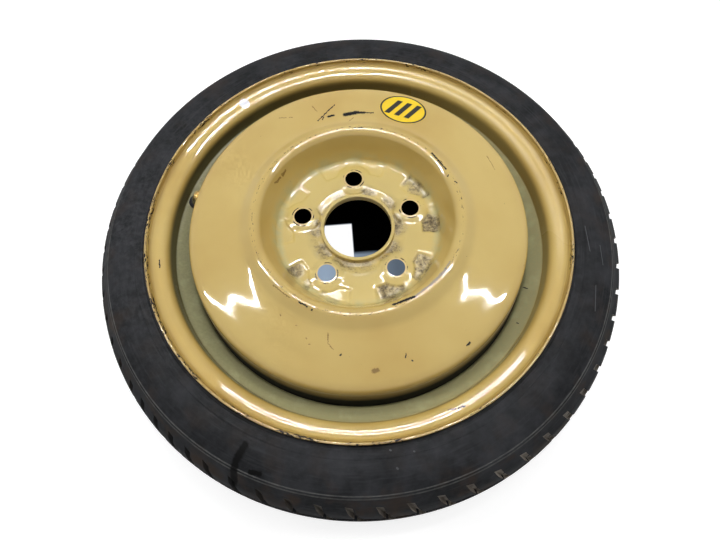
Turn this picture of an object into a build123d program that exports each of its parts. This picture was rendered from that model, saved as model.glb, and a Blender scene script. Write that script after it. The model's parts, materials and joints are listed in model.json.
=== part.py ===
from build123d import *
import os
from math import cos, radians, sin, tan

os.makedirs("parts", exist_ok=True)

# A space saver spare wheel lying on its inner rim flange, outer face up.
# The wheel's axis is +Z, the inner flange plane is z = 0, and a bolt hole is on +Y.
# Sizes are in millimetres and angles in degrees.

# Rim: a rolled steel strip with a drop centre, drawn along its tyre side
rim_sheet = 2.5
seat_width = 101.6
seat_radius = 190.1
seat_taper = 5.0
seat_length = 20.7
seat_fillet = 6.4
flange_wall = 0.7
flange_curl = 10.0
flange_lip = 0.7
hump_fillet = 4.0
well_depth = 17.3
well_slope = 28.0
well_fillet = 4.0

# Disc: a steel pressing, drawn along its outer face
disc_sheet = 3.2
wheel_offset = 40.0
bore_radius = 33.55
lip_height = 6.8
lip_fillet = 1.0
valley_width = 8.75
valley_run = 2.0
valley_depth = 1.5
valley_fillet = 1.5
wall_foot_radius = 81.0
wall_foot_fillet = 6.0
crest_run = 14.8
crest_rise = 18.7
crest_fillet = 7.0
hollow_run = 14.6
hollow_rise = 8.3
hollow_fillet = 18.0
dome_bend_run = 19.6
dome_bend_rise = 6.5
dome_bend_fillet = 150.0
dome_edge_inset = 3.75
dome_edge_rise = -0.3
dome_edge_fillet = 22.0
skirt_fillet = 60.0
skirt_lap = 30.0
press_gap = 0.05

# Wheel nut seats and the pressed pockets between them
bolt_count = 5
bolt_circle = 114.3
bolt_start = 90.0
bolt_hole_radius = 7.75
nut_seat_radius = 8.8
nut_seat_angle = 30.0
boss_radius = 17.0
boss_top_radius = 13.0
boss_rise = 1.5
seat_wall = 3.0
seat_foot_gap = 0.4
pocket_wall_gap = 2.0
pocket_width = 15.0
pocket_near_angle = 4.0
pocket_far_angle = 26.5
pocket_depth = 1.5
pocket_corner = 1.2
pocket_pad_margin = 1.2

# Notch in the disc's edge that clears the valve
notch_turn = 2.1
notch_depth = 7.25
notch_radius = 36.0

# Fillet welds at the back, between the skirt's end and the well
weld_count = 4
weld_start = 30.0
weld_span = 62.0
weld_leg = 4.5
weld_swell = 0.6

# Tyre
tyre_radius = 266.5
sidewall_foot_inset = 3.7
sidewall_foot_rise = 3.0
sidewall_bulge = 3.4
bulge_lift = 4.0
shoulder_rib_inset = 19.5
shoulder_rib_drop = 7.1
tread_half_width = 27.5
tread_crown = 5.5
shoulder_swell = 1.8
tread_thickness = 9.5
liner_inset = 3.2
sidewall_thickness = 6.5
bead_width = 14.0
bead_apex_rise = 1.0
bead_apex_thickness = 9.0
groove_count = 3
groove_pitch = 19.0
groove_width = 6.0
groove_depth = 4.0
notches_per_side = 60
block_notch_width = 6.5
block_notch_depth = 3.2
block_notch_length = 22.0
block_notch_place = 0.35

# Valve, measured along its own axis from the rim's outer face
valve_angle = 162.1
valve_seat_rise = 5.4
valve_hole_radius = 5.75
valve_seat_gap = 0.1
collar_radius = 7.6
collar_height = 1.6
rubber_waist_radius = 5.9
rubber_waist_height = 4.5
rubber_end_radius = 4.9
rubber_grip = 1.5
bulb_radius = 8.4
bulb_length = 8.0
bulb_rim = 2.0
bulb_end_radius = 4.5
stem_height = 21.5
stem_bare_length = 9.0
stem_radius = 3.85
stem_chamfer = 0.5
stem_shank_radius = 3.0
stem_foot = 5.5
air_bore_radius = 1.4
chamber_radius = 2.0
thread_bore_radius = 2.6
thread_bore_depth = 8.5
bore_cone_height = 1.0

# Valve core
core_clearance = 0.05
plug_recess = 1.2
plug_length = 5.8
plug_bore_radius = 1.1
plug_flat_width = 2.9
plug_flat_height = 2.2
barrel_length = 7.5
barrel_radius = 1.55
barrel_bore_radius = 1.0
barrel_floor = 0.6
barrel_collar_radius = 2.3
barrel_collar_height = 0.8
core_seal_height = 1.6
core_seal_taper = 0.25
pin_radius = 0.5
pin_running_gap = 0.08
pin_head_radius = 0.85
pin_head_height = 0.8
pin_recess = 0.3
pin_tail = 0.8
pin_room = 2.25
cup_plate_radius = 1.45
cup_plate_thickness = 0.7
cup_height = 1.2
cup_seat_gap = 0.05
spring_wire = 0.2
spring_turns = 6
spring_gap = 0.03
pin_collar_radius = 0.9
pin_collar_drop = 1.3
pin_collar_height = 0.5

# Oval label on the dome
label_inset = 27.9
label_angle = 65.2
label_length = 51.0
label_height = 39.0
label_film = 0.2

# Heights and places worked out from the sizes above
rim_width = seat_width + 2 * (flange_curl + flange_lip)
rim_middle = rim_width / 2
wall_top = rim_middle + seat_width / 2
wall_bottom = rim_middle - seat_width / 2
seat_fillet_reach = seat_fillet / tan(radians(90 + seat_taper) / 2)
flange_radius = seat_radius + seat_fillet_reach + flange_wall + flange_curl
well_radius = seat_radius - well_depth
seat_end_radius = seat_radius - seat_length * tan(radians(seat_taper))
seat_end_top = wall_top - seat_length
seat_end_bottom = wall_bottom + seat_length
slope_fall = (seat_end_radius - well_radius) * tan(radians(well_slope))
well_top = seat_end_top - slope_fall
well_bottom = seat_end_bottom + slope_fall
well_bore = well_radius - rim_sheet

hub_face = rim_middle + wheel_offset
valley_face = hub_face + disc_sheet
pad_face = valley_face + valley_depth
pad_back = pad_face - disc_sheet
boss_top = pad_face + boss_rise
lip_radius = bore_radius + disc_sheet
lip_top = valley_face + lip_height
valley_radius = lip_radius + valley_width
crest_radius = wall_foot_radius + crest_run
hollow_radius = crest_radius + hollow_run
dome_bend_radius = hollow_radius + dome_bend_run
skirt_radius = well_bore - press_gap
skirt_end = well_top - skirt_lap
dome_edge_radius = skirt_radius - dome_edge_inset
pocket_outer_radius = wall_foot_radius - pocket_wall_gap
pocket_inner_radius = pocket_outer_radius - pocket_width

rim_points = [
    (flange_radius, rim_width),
    (flange_radius, wall_top),
    (seat_radius, wall_top),
    (seat_end_radius, seat_end_top),
    (well_radius, well_top),
    (well_radius, well_bottom),
    (seat_end_radius, seat_end_bottom),
    (seat_radius, wall_bottom),
    (flange_radius, wall_bottom),
    (flange_radius, 0),
]
outer_fillets = [flange_curl, seat_fillet, hump_fillet, well_fillet]
rim_fillets = outer_fillets + outer_fillets[::-1]

dome_points = [
    (wall_foot_radius, pad_face),
    (crest_radius, rim_width + crest_rise),
    (hollow_radius, rim_width + hollow_rise),
    (dome_bend_radius, rim_width + dome_bend_rise),
    (dome_edge_radius, rim_width + dome_edge_rise),
    (skirt_radius, well_top),
    (skirt_radius, skirt_end),
]
dome_fillets = [crest_fillet, hollow_fillet, dome_bend_fillet, dome_edge_fillet, skirt_fillet]


def polar(radius, angle):
    return (radius * cos(radians(angle)), radius * sin(radians(angle)))


# The valve stands square to the rim's outer well slope
slope_sin = sin(radians(well_slope))
slope_cos = cos(radians(well_slope))
slope_face_radius = seat_end_radius - rim_sheet * slope_sin
slope_face_top = seat_end_top + rim_sheet * slope_cos
valve_seat_radius = well_radius + valve_seat_rise
valve_seat_drop = (slope_face_radius - valve_seat_radius) * tan(radians(well_slope))
valve_seat = Vector(*polar(valve_seat_radius, valve_angle), slope_face_top - valve_seat_drop)
valve_direction = Vector(*polar(-slope_sin, valve_angle), slope_cos)
valve_axis = Axis(valve_seat, valve_direction)
valve_plane = Plane(valve_seat, z_dir=valve_direction)
valve_profile = Plane(
    valve_seat,
    x_dir=Vector(*polar(slope_cos, valve_angle), slope_sin),
    z_dir=Vector(*polar(1, valve_angle - 90)),
)

# Rim: one rolled strip with the valve hole in its outer well slope
with BuildPart() as wheel_rim:
    with BuildSketch(Plane.XZ):
        with BuildLine():
            FilletPolyline(rim_points, radius=rim_fillets)
            offset(amount=rim_sheet, side=Side.RIGHT, kind=Kind.INTERSECTION)
        make_face()
    revolve(axis=Axis.Z)
    with BuildSketch(valve_plane):
        Circle(valve_hole_radius)
    extrude(amount=2 * rim_sheet, both=True, mode=Mode.SUBTRACT)

wheel_rim.part.label = "wheel_rim"
export_step(wheel_rim.part, "parts/wheel_rim.step")

# One pair of pockets, either side of a bolt hole that lies on +X
with BuildSketch() as pocket_pair:
    Circle(pocket_outer_radius)
    Circle(pocket_inner_radius, mode=Mode.SUBTRACT)
    wedge_reach = 2 * pocket_outer_radius
    near_corner = polar(wedge_reach, pocket_near_angle)
    far_corner = polar(wedge_reach, pocket_far_angle)
    Polygon((0, 0), near_corner, far_corner, align=None, mode=Mode.INTERSECT)
    with Locations((bolt_circle / 2, 0)):
        Circle(boss_radius, mode=Mode.SUBTRACT)
    fillet(pocket_pair.vertices(), pocket_corner)
    mirror(about=Plane.XZ)

bolt_turns = [bolt_start + i * 360 / bolt_count for i in range(bolt_count)]
pocket_places = [Location((0, 0, 0), (0, 0, turn)) for turn in bolt_turns]
recess_top = pad_back + boss_rise
seat_foot = hub_face + seat_foot_gap
seat_wall_radius = bolt_hole_radius + seat_wall

# Disc: one pressing from the centre bore's lip to the skirt that laps the rim's well
with BuildPart() as wheel_disc:
    with BuildSketch(Plane.XZ):
        with BuildLine():
            FilletPolyline(
                (lip_radius, lip_top),
                (lip_radius, valley_face),
                (valley_radius, valley_face),
                (valley_radius + valley_run, pad_face),
                *dome_points,
                radius=[lip_fillet, valley_fillet, valley_fillet, wall_foot_fillet, *dome_fillets],
            )
            offset(amount=disc_sheet, side=Side.RIGHT, kind=Kind.INTERSECTION)
        make_face()
    revolve(axis=Axis.Z)

    # Pockets pressed back until their backs lie in the hub face
    with BuildSketch(Plane.XY.offset(hub_face)):
        with Locations(*pocket_places):
            add(offset(pocket_pair.sketch, amount=pocket_pad_margin, mode=Mode.PRIVATE))
    extrude(amount=disc_sheet)
    with BuildSketch(Plane.XY.offset(pad_face - pocket_depth)):
        with Locations(*pocket_places):
            add(pocket_pair.sketch)
    extrude(amount=disc_sheet, mode=Mode.SUBTRACT)

    # Bosses raised around the bolt holes, with a conical nut seat in each
    with Locations((0, 0, valley_face)):
        with PolarLocations(bolt_circle / 2, bolt_count, bolt_start):
            Cylinder(boss_radius, valley_depth, align=(Align.CENTER, Align.CENTER, Align.MIN))
    with Locations((0, 0, pad_face)):
        with PolarLocations(bolt_circle / 2, bolt_count, bolt_start):
            Cone(boss_radius, boss_top_radius, boss_rise, align=(Align.CENTER, Align.CENTER, Align.MIN))
    with Locations((0, 0, pad_back)):
        with PolarLocations(bolt_circle / 2, bolt_count, bolt_start):
            Cone(
                boss_radius - seat_wall,
                boss_top_radius,
                boss_rise,
                align=(Align.CENTER, Align.CENTER, Align.MIN),
                mode=Mode.SUBTRACT,
            )
    with Locations((0, 0, seat_foot)):
        with PolarLocations(bolt_circle / 2, bolt_count, bolt_start):
            Cylinder(seat_wall_radius, recess_top - seat_foot, align=(Align.CENTER, Align.CENTER, Align.MIN))
    with Locations((0, 0, boss_top)):
        with PolarLocations(bolt_circle / 2, bolt_count, bolt_start):
            CounterSinkHole(bolt_hole_radius, nut_seat_radius, counter_sink_angle=2 * nut_seat_angle)

    # Notch that clears the valve
    with BuildSketch():
        with Locations(polar(skirt_radius - notch_depth + notch_radius, valve_angle + notch_turn)):
            Circle(notch_radius)
    extrude(amount=2 * rim_width, mode=Mode.SUBTRACT)

wheel_disc.part.label = "wheel_disc"
export_step(wheel_disc.part, "parts/wheel_disc.step")

# Fillet welds between the skirt's end and the well, on the back
with BuildPart() as disc_welds:
    for weld in range(weld_count):
        weld_angle = weld_start + weld * 360 / weld_count - weld_span / 2
        with BuildSketch(Plane.XZ.rotated((0, 0, weld_angle))):
            with BuildLine():
                Polyline(
                    (skirt_radius - disc_sheet, skirt_end),
                    (well_bore, skirt_end),
                    (well_bore, skirt_end - weld_leg),
                )
                SagittaArc(
                    (well_bore, skirt_end - weld_leg),
                    (skirt_radius - disc_sheet, skirt_end),
                    weld_swell,
                )
            make_face()
        revolve(axis=Axis.Z, revolution_arc=weld_span)

disc_welds.part.label = "disc_welds"
export_step(disc_welds.part, "parts/disc_welds.step")

# Tyre: one hollow moulding whose beads take the form of the rim's seats and flanges
tyre_plane = Plane((0, 0, rim_middle), x_dir=(1, 0, 0), z_dir=(0, -1, 0))
foot_height = seat_width / 2 + sidewall_foot_rise
tyre_half_width = foot_height + sidewall_bulge
sidewall_foot_radius = flange_radius - sidewall_foot_inset
shoulder_rib_radius = tyre_radius - shoulder_rib_inset
bulge_radius = (sidewall_foot_radius + shoulder_rib_radius) / 2 + bulge_lift
tread_edge_radius = tyre_radius - tread_crown
rib_height = tyre_half_width - shoulder_rib_drop
liner_radius = tyre_radius - tread_thickness
liner_edge_radius = shoulder_rib_radius - liner_inset
liner_edge_height = rib_height - tread_thickness
bead_base_radius = seat_radius - rim_sheet
bead_apex_radius = sidewall_foot_radius + bead_apex_rise


def crown_radius(top_radius, edge_radius, edge_height, height):
    drop = top_radius - edge_radius
    arc_radius = (edge_height**2 + drop**2) / (2 * drop)
    return top_radius - arc_radius + (arc_radius**2 - height**2) ** 0.5


def tread_radius(height):
    return crown_radius(tyre_radius, tread_edge_radius, tread_half_width, height)


def liner_crown_radius(height):
    return crown_radius(liner_radius, liner_edge_radius, liner_edge_height, height)


# All that lies inside the rim's tyre side, measured from the wheel's middle plane
bed_points = [(radius, height - rim_middle) for radius, height in rim_points]
with BuildSketch(tyre_plane) as rim_bed:
    with BuildLine():
        FilletPolyline(bed_points, radius=rim_fillets)
        Polyline(bed_points[-1], (0, -rim_middle), (0, rim_middle), bed_points[0])
    make_face()

# Each shoulder notch is a cut square to the line from the shoulder rib to the tread's edge
shoulder_fall = rib_height - tread_half_width
shoulder_reach = tread_edge_radius - shoulder_rib_radius
shoulder_length = (shoulder_fall**2 + shoulder_reach**2) ** 0.5
notch_centre_radius = tread_edge_radius - shoulder_reach * block_notch_place
notch_centre_height = tread_half_width + shoulder_fall * block_notch_place


def block_notch(number, side):
    turn = (number + side / 4) * 360 / notches_per_side
    across = Vector(*polar(1, turn + 90))
    outward = Vector(*polar(shoulder_fall, turn), side * shoulder_reach) / shoulder_length
    centre = Vector(*polar(notch_centre_radius, turn), rim_middle + side * notch_centre_height)
    return Plane(centre + outward * shoulder_swell, x_dir=across, z_dir=outward)


block_notches = [block_notch(i, side) for i in range(notches_per_side) for side in (-1, 1)]

with BuildPart() as tyre:
    with BuildSketch(tyre_plane):
        with BuildLine():
            Line((liner_radius, 0), (tyre_radius, 0))
            ThreePointArc(
                (tyre_radius, 0),
                (tread_radius(tread_half_width / 2), tread_half_width / 2),
                (tread_edge_radius, tread_half_width),
            )
            SagittaArc(
                (tread_edge_radius, tread_half_width),
                (shoulder_rib_radius, rib_height),
                -shoulder_swell,
            )
            ThreePointArc(
                (shoulder_rib_radius, rib_height),
                (bulge_radius, tyre_half_width),
                (sidewall_foot_radius, foot_height),
            )
            Polyline(
                (sidewall_foot_radius, foot_height),
                (bead_base_radius, foot_height),
                (bead_base_radius, seat_width / 2 - bead_width),
                (bead_apex_radius, foot_height - bead_apex_thickness),
            )
            ThreePointArc(
                (bead_apex_radius, foot_height - bead_apex_thickness),
                (bulge_radius, tyre_half_width - sidewall_thickness),
                (liner_edge_radius, liner_edge_height),
            )
            ThreePointArc(
                (liner_edge_radius, liner_edge_height),
                (liner_crown_radius(liner_edge_height / 2), liner_edge_height / 2),
                (liner_radius, 0),
            )
        make_face()
        mirror(about=Plane.XZ)
        for groove in range(groove_count):
            groove_height = (groove - (groove_count - 1) / 2) * groove_pitch
            with Locations((tread_radius(groove_height) - groove_depth, groove_height)):
                Rectangle(
                    2 * groove_depth,
                    groove_width,
                    align=(Align.MIN, Align.CENTER),
                    mode=Mode.SUBTRACT,
                )
        add(rim_bed.sketch_local, mode=Mode.SUBTRACT)
    revolve(axis=Axis.Z)
    with Locations(*block_notches):
        Box(block_notch_width, block_notch_length, 2 * block_notch_depth, mode=Mode.SUBTRACT)

tyre.part.label = "tyre"
export_step(tyre.part, "parts/tyre.step")

# Valve rubber: a snap-in body whose neck fills the rim's valve hole and whose bulb takes the rim's form
bulb_face = -rim_sheet - valve_seat_gap
bulb_end = bulb_face - bulb_length
neck_radius = valve_hole_radius - press_gap
rubber_height = stem_height - stem_bare_length
stem_shank_height = rubber_height - rubber_grip

with BuildPart() as valve_rubber:
    with BuildSketch(valve_profile):
        with BuildLine():
            Polyline(
                (air_bore_radius, bulb_end),
                (bulb_end_radius, bulb_end),
                (bulb_radius, bulb_face - bulb_rim),
                (bulb_radius, bulb_face),
                (neck_radius, bulb_face),
                (neck_radius, valve_seat_gap),
                (collar_radius, valve_seat_gap),
                (collar_radius, collar_height),
                (rubber_waist_radius, rubber_waist_height),
                (rubber_end_radius, rubber_height),
                (stem_radius, rubber_height),
                (stem_radius, stem_shank_height),
                (stem_shank_radius, stem_shank_height),
                (stem_shank_radius, bulb_face - stem_foot),
                (air_bore_radius, bulb_face - stem_foot),
                close=True,
            )
        make_face()
    revolve(axis=valve_axis)
    add(wheel_rim.part, mode=Mode.SUBTRACT)

valve_rubber.part.label = "valve_rubber"
export_step(valve_rubber.part, "parts/valve_rubber.step")

# Heights of the core's pieces, which hang from the stem's mouth
thread_bore_foot = stem_height - thread_bore_depth
plug_top = stem_height - plug_recess
plug_foot = plug_top - plug_length
collar_foot = plug_foot - barrel_collar_height
barrel_foot = plug_foot - barrel_length
spring_foot = barrel_foot + barrel_floor
cup_top = barrel_foot - cup_seat_gap
cup_foot = cup_top - cup_height
plate_foot = cup_foot - cup_plate_thickness
tail_foot = plate_foot - pin_tail
chamber_foot = tail_foot - pin_room
pin_top = stem_height - pin_recess
pin_collar_foot = plug_foot - pin_collar_drop

# Valve stem: a turned brass tube bonded into the rubber, with an open mouth
with BuildPart() as valve_stem:
    with BuildSketch(valve_profile):
        with BuildLine():
            Polyline(
                (air_bore_radius, bulb_face - stem_foot),
                (stem_shank_radius, bulb_face - stem_foot),
                (stem_shank_radius, stem_shank_height),
                (stem_radius, stem_shank_height),
                (stem_radius, stem_height - stem_chamfer),
                (stem_radius - stem_chamfer, stem_height),
                (thread_bore_radius, stem_height),
                (thread_bore_radius, thread_bore_foot),
                (chamber_radius, thread_bore_foot - bore_cone_height),
                (chamber_radius, chamber_foot),
                (air_bore_radius, chamber_foot),
                close=True,
            )
        make_face()
    revolve(axis=valve_axis)

valve_stem.part.label = "valve_stem"
export_step(valve_stem.part, "parts/valve_stem.step")

# Valve core plug: threaded into the stem, with two flats for the key
plug_radius = thread_bore_radius - core_clearance

with BuildPart() as valve_core_plug:
    with BuildSketch(valve_plane.offset(plug_foot)):
        Circle(plug_radius)
        Circle(plug_bore_radius, mode=Mode.SUBTRACT)
    extrude(amount=plug_top - plug_foot)
    with BuildSketch(valve_plane.offset(plug_top)):
        Circle(thread_bore_radius)
        Rectangle(2 * thread_bore_radius, plug_flat_width, mode=Mode.SUBTRACT)
    extrude(amount=-plug_flat_height, mode=Mode.SUBTRACT)

valve_core_plug.part.label = "valve_core_plug"
export_step(valve_core_plug.part, "parts/valve_core_plug.step")

# Valve core barrel: a thin tube that guides the pin and ends in the sealing seat
guide_radius = pin_radius + pin_running_gap

with BuildPart() as valve_core_barrel:
    with BuildSketch(valve_profile):
        with BuildLine():
            Polyline(
                (guide_radius, barrel_foot),
                (barrel_radius, barrel_foot),
                (barrel_radius, collar_foot),
                (barrel_collar_radius, collar_foot),
                (barrel_collar_radius, plug_foot),
                (barrel_bore_radius, plug_foot),
                (barrel_bore_radius, spring_foot),
                (guide_radius, spring_foot),
                close=True,
            )
        make_face()
    revolve(axis=valve_axis)

valve_core_barrel.part.label = "valve_core_barrel"
export_step(valve_core_barrel.part, "parts/valve_core_barrel.step")

# Valve core seal: a tapered ring under the barrel's collar
with BuildPart() as valve_core_seal:
    with BuildSketch(valve_profile):
        with BuildLine():
            Polyline(
                (barrel_radius, collar_foot - core_seal_height),
                (chamber_radius - core_clearance, collar_foot - core_seal_height),
                (chamber_radius + core_seal_taper, collar_foot),
                (barrel_radius, collar_foot),
                close=True,
            )
        make_face()
    revolve(axis=valve_axis)

valve_core_seal.part.label = "valve_core_seal"
export_step(valve_core_seal.part, "parts/valve_core_seal.step")

# Valve core pin: head at the mouth, collar on the spring, plate under the sealing cup
with BuildPart() as valve_core_pin:
    with BuildSketch(valve_profile):
        with BuildLine():
            Polyline(
                (0, tail_foot),
                (pin_radius, tail_foot),
                (pin_radius, plate_foot),
                (cup_plate_radius, plate_foot),
                (cup_plate_radius, cup_foot),
                (pin_radius, cup_foot),
                (pin_radius, pin_collar_foot),
                (pin_collar_radius, pin_collar_foot),
                (pin_collar_radius, pin_collar_foot + pin_collar_height),
                (pin_radius, pin_collar_foot + pin_collar_height),
                (pin_radius, pin_top - pin_head_height),
                (pin_head_radius, pin_top - pin_head_height),
                (pin_head_radius, pin_top),
                (0, pin_top),
                close=True,
            )
        make_face()
    revolve(axis=valve_axis)

valve_core_pin.part.label = "valve_core_pin"
export_step(valve_core_pin.part, "parts/valve_core_pin.step")

# Valve core cup: the rubber washer that the pin draws against the barrel's foot
with BuildPart() as valve_core_cup:
    with BuildSketch(valve_plane.offset(cup_foot)):
        Circle(cup_plate_radius)
        Circle(pin_radius, mode=Mode.SUBTRACT)
    extrude(amount=cup_height)

valve_core_cup.part.label = "valve_core_cup"
export_step(valve_core_cup.part, "parts/valve_core_cup.step")

# Valve core spring: stands on the barrel's floor and lifts the pin by its collar
spring_radius = (pin_radius + barrel_bore_radius) / 2
spring_start = spring_foot + spring_wire / 2 + spring_gap
spring_rise = pin_collar_foot - spring_foot - spring_wire - 2 * spring_gap

with BuildPart() as valve_core_spring:
    with BuildLine() as spring_path:
        Helix(
            spring_rise / spring_turns,
            spring_rise,
            spring_radius,
            center=valve_seat + valve_direction * spring_start,
            direction=valve_direction,
        )
    with BuildSketch(Plane(spring_path.line @ 0, z_dir=spring_path.line % 0)):
        Circle(spring_wire / 2)
    sweep(path=spring_path.line, is_frenet=True)

valve_core_spring.part.label = "valve_core_spring"
export_step(valve_core_spring.part, "parts/valve_core_spring.step")

# Oval label: a thin film that follows the dome's outer face
label_centre = polar(dome_edge_radius - label_inset, label_angle)

with BuildPart() as dome_label:
    with BuildSketch(Plane.XZ):
        with BuildLine():
            FilletPolyline(dome_points, radius=dome_fillets)
            offset(amount=label_film, side=Side.LEFT)
        make_face()
    revolve(axis=Axis.Z)
    with BuildSketch():
        with Locations(Location((*label_centre, 0), (0, 0, label_angle))):
            Ellipse(label_height / 2, label_length / 2)
    extrude(amount=2 * rim_width, mode=Mode.INTERSECT)

dome_label.part.label = "dome_label"
export_step(dome_label.part, "parts/dome_label.step")
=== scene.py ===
import json
import math

import bpy
import numpy as np
from mathutils import Matrix, Vector


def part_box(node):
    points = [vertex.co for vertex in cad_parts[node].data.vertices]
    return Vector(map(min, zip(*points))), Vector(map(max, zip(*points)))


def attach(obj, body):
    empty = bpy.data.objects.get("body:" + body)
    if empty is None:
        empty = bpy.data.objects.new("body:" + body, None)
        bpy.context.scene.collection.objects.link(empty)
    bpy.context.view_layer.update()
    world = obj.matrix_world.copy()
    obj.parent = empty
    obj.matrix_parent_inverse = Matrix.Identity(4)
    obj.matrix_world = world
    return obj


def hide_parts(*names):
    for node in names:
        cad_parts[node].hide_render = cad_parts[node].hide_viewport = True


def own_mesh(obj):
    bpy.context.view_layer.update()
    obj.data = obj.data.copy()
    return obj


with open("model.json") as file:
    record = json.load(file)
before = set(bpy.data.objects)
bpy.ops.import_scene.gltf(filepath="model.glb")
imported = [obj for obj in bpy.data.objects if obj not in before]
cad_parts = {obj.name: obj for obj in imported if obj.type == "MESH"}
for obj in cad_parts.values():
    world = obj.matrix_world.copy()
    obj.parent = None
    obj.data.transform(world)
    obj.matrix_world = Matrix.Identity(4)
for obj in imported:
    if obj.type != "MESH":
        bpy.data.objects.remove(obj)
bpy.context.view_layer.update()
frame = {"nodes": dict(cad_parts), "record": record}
mm = 0.001  # sizes below are in millimetres, meshes in metres
wheelBody = "wheel"
print("frame loaded,", len(frame["nodes"]), "nodes")


def linear(hexColour):
    parts = [int(hexColour[i:i + 2], 16) / 255 for i in (1, 3, 5)]
    return [c / 12.92 if c <= 0.04045 else ((c + 0.055) / 1.055) ** 2.4 for c in parts] + [1.0]


# adds a node, sets its properties, then fills or links its sockets (a node stands for its first live output)
def addNode(tree, kind, sockets=None, **settings):
    node = tree.nodes.new(kind)
    for name, value in settings.items():
        setattr(node, name, value)
    for key, value in (sockets or {}).items():
        target = node.inputs[key] if isinstance(key, int) else next(
            s for s in node.inputs if s.name == key and s.enabled)
        if isinstance(value, bpy.types.Node):
            value = next(s for s in value.outputs if s.enabled)
        if isinstance(value, bpy.types.NodeSocket):
            tree.links.new(value, target)
        else:
            target.default_value = value
    return node


def reach(node):  # widest radius, lowest and highest point of a CAD node
    low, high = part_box(node)
    return max(high.x, high.y, -low.x, -low.y) / mm, low.z / mm, high.z / mm


rimReach, rimFoot, rimTop = reach("wheel_rim")
tyreReach = reach("tyre")[0]
middle = (rimFoot + rimTop) / 2
valveDown = Vector(frame["record"]["behaviour"]["joints"][0]["axis"]).normalized()
valveUp = -valveDown


# closed outline in (radius, height) with its corners rounded, and long runs and arcs divided
def roundedLoop(corners, stepDegrees, longest):
    places = np.array([c[:2] for c in corners], float)
    loop = []
    for i, corner in enumerate(corners):
        here = places[i]
        back = places[i - 1] - here
        ahead = places[(i + 1) % len(places)] - here
        back /= np.linalg.norm(back)
        ahead /= np.linalg.norm(ahead)
        opening = math.acos(np.clip(back @ ahead, -1, 1))
        fillet = corner[2]
        if fillet <= 0 or opening > math.pi - 0.002:
            loop.append(here)
            continue
        centre = here + (back + ahead) / np.linalg.norm(back + ahead) * fillet / math.sin(opening / 2)
        arm = here + back * fillet / math.tan(opening / 2) - centre
        turn = math.copysign(math.pi - opening, back[1] * ahead[0] - back[0] * ahead[1])
        steps = max(2, math.ceil(math.degrees(abs(turn)) / stepDegrees),
                    math.ceil(abs(turn) * fillet / longest(here)))
        for k in range(steps + 1):
            a = turn * k / steps
            loop.append(centre + np.array([arm[0] * math.cos(a) - arm[1] * math.sin(a),
                                           arm[0] * math.sin(a) + arm[1] * math.cos(a)]))
    divided = []
    for i, start in enumerate(loop):
        end = loop[(i + 1) % len(loop)]
        steps = max(1, math.ceil(np.linalg.norm(end - start) / longest((start + end) / 2)))
        divided += [start + (end - start) * k / steps for k in range(steps)]
    return np.array(divided)


# the same path moved to its right by the sheet's thickness, fillets grown or shrunk to suit
def sheetBack(path, sheet):
    places = np.array([c[:2] for c in path], float)
    ways = np.diff(places, axis=0)
    ways /= np.linalg.norm(ways, axis=1)[:, None]
    rights = np.stack([ways[:, 1], -ways[:, 0]], 1) * sheet
    back = [(*(places[0] + rights[0]), path[0][2])]
    for i in range(1, len(path) - 1):
        a, b = ways[i - 1], ways[i]
        cross = a[0] * b[1] - a[1] * b[0]
        gap = rights[i] - rights[i - 1]
        along = (gap[0] * b[1] - gap[1] * b[0]) / cross
        place = places[i] + rights[i - 1] + a * along
        back.append((*place, max(0.3, path[i][2] + math.copysign(sheet, cross))))
    back.append((*(places[-1] + rights[-1]), path[-1][2]))
    return back


def spinLoop(loop, turns):
    following = np.roll(loop, -1, 0)
    if np.sum(loop[:, 0] * following[:, 1] - following[:, 0] * loop[:, 1]) < 0:
        loop = loop[::-1]  # anticlockwise outlines spin with their faces outwards
    angles = np.arange(turns) * 2 * math.pi / turns
    points = np.stack([np.outer(np.cos(angles), loop[:, 0]), np.outer(np.sin(angles), loop[:, 0]),
                       np.tile(loop[:, 1], (turns, 1))], -1)
    index = np.arange(points.shape[0] * points.shape[1]).reshape(points.shape[:2])
    nextTurn = np.roll(index, -1, 0)
    faces = np.stack([index, nextTurn, np.roll(nextTurn, -1, 1), np.roll(index, -1, 1)], -1)
    return points.reshape(-1, 3), faces.reshape(-1, 4)


def makePiece(name, points, faces, edges=()):
    mesh = bpy.data.meshes.new(name)
    mesh.from_pydata((np.asarray(points, float) * mm).tolist(), [tuple(e) for e in edges],
                     [tuple(f) for f in np.asarray(faces).tolist()])
    mesh.update()
    piece = bpy.data.objects.new(name, mesh)
    bpy.context.scene.collection.objects.link(piece)
    return piece


# evaluates the piece's modifiers once and keeps the result as its plain mesh
def keepGrown(piece):
    graph = bpy.context.evaluated_depsgraph_get()
    grown = bpy.data.meshes.new_from_object(piece.evaluated_get(graph))
    piece.modifiers.clear()
    old = piece.data
    piece.data = grown
    grown.name = piece.name
    bpy.data.meshes.remove(old)
    return piece


def smoothPiece(piece, sharpFrom):
    piece.data.shade_smooth()
    piece.data.set_sharp_from_angle(angle=math.radians(sharpFrom))
    return piece


def nodeTree(name, sizes):
    tree = bpy.data.node_groups.new(name, "GeometryNodeTree")
    tree.interface.new_socket("Geometry", in_out="INPUT", socket_type="NodeSocketGeometry")
    for label, value in sizes.items():
        kind = "NodeSocketInt" if isinstance(value, int) else "NodeSocketFloat"
        tree.interface.new_socket(label, in_out="INPUT", socket_type=kind)
    tree.interface.new_socket("Geometry", in_out="OUTPUT", socket_type="NodeSocketGeometry")
    return tree, addNode(tree, "NodeGroupInput").outputs


def growPiece(piece, tree, sizes):
    modifier = piece.modifiers.new(tree.name, "NODES")
    modifier.node_group = tree
    for item in tree.interface.items_tree:
        if item.in_out == "INPUT" and item.name in sizes:
            modifier[item.identifier] = sizes[item.name]
    return keepGrown(piece)


def finishPiece(piece, slotName, *nodes):
    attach(piece, wheelBody)
    if nodes:
        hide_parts(*nodes)
    print("made", piece.name, "with", len(piece.data.polygons), "faces")


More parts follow.
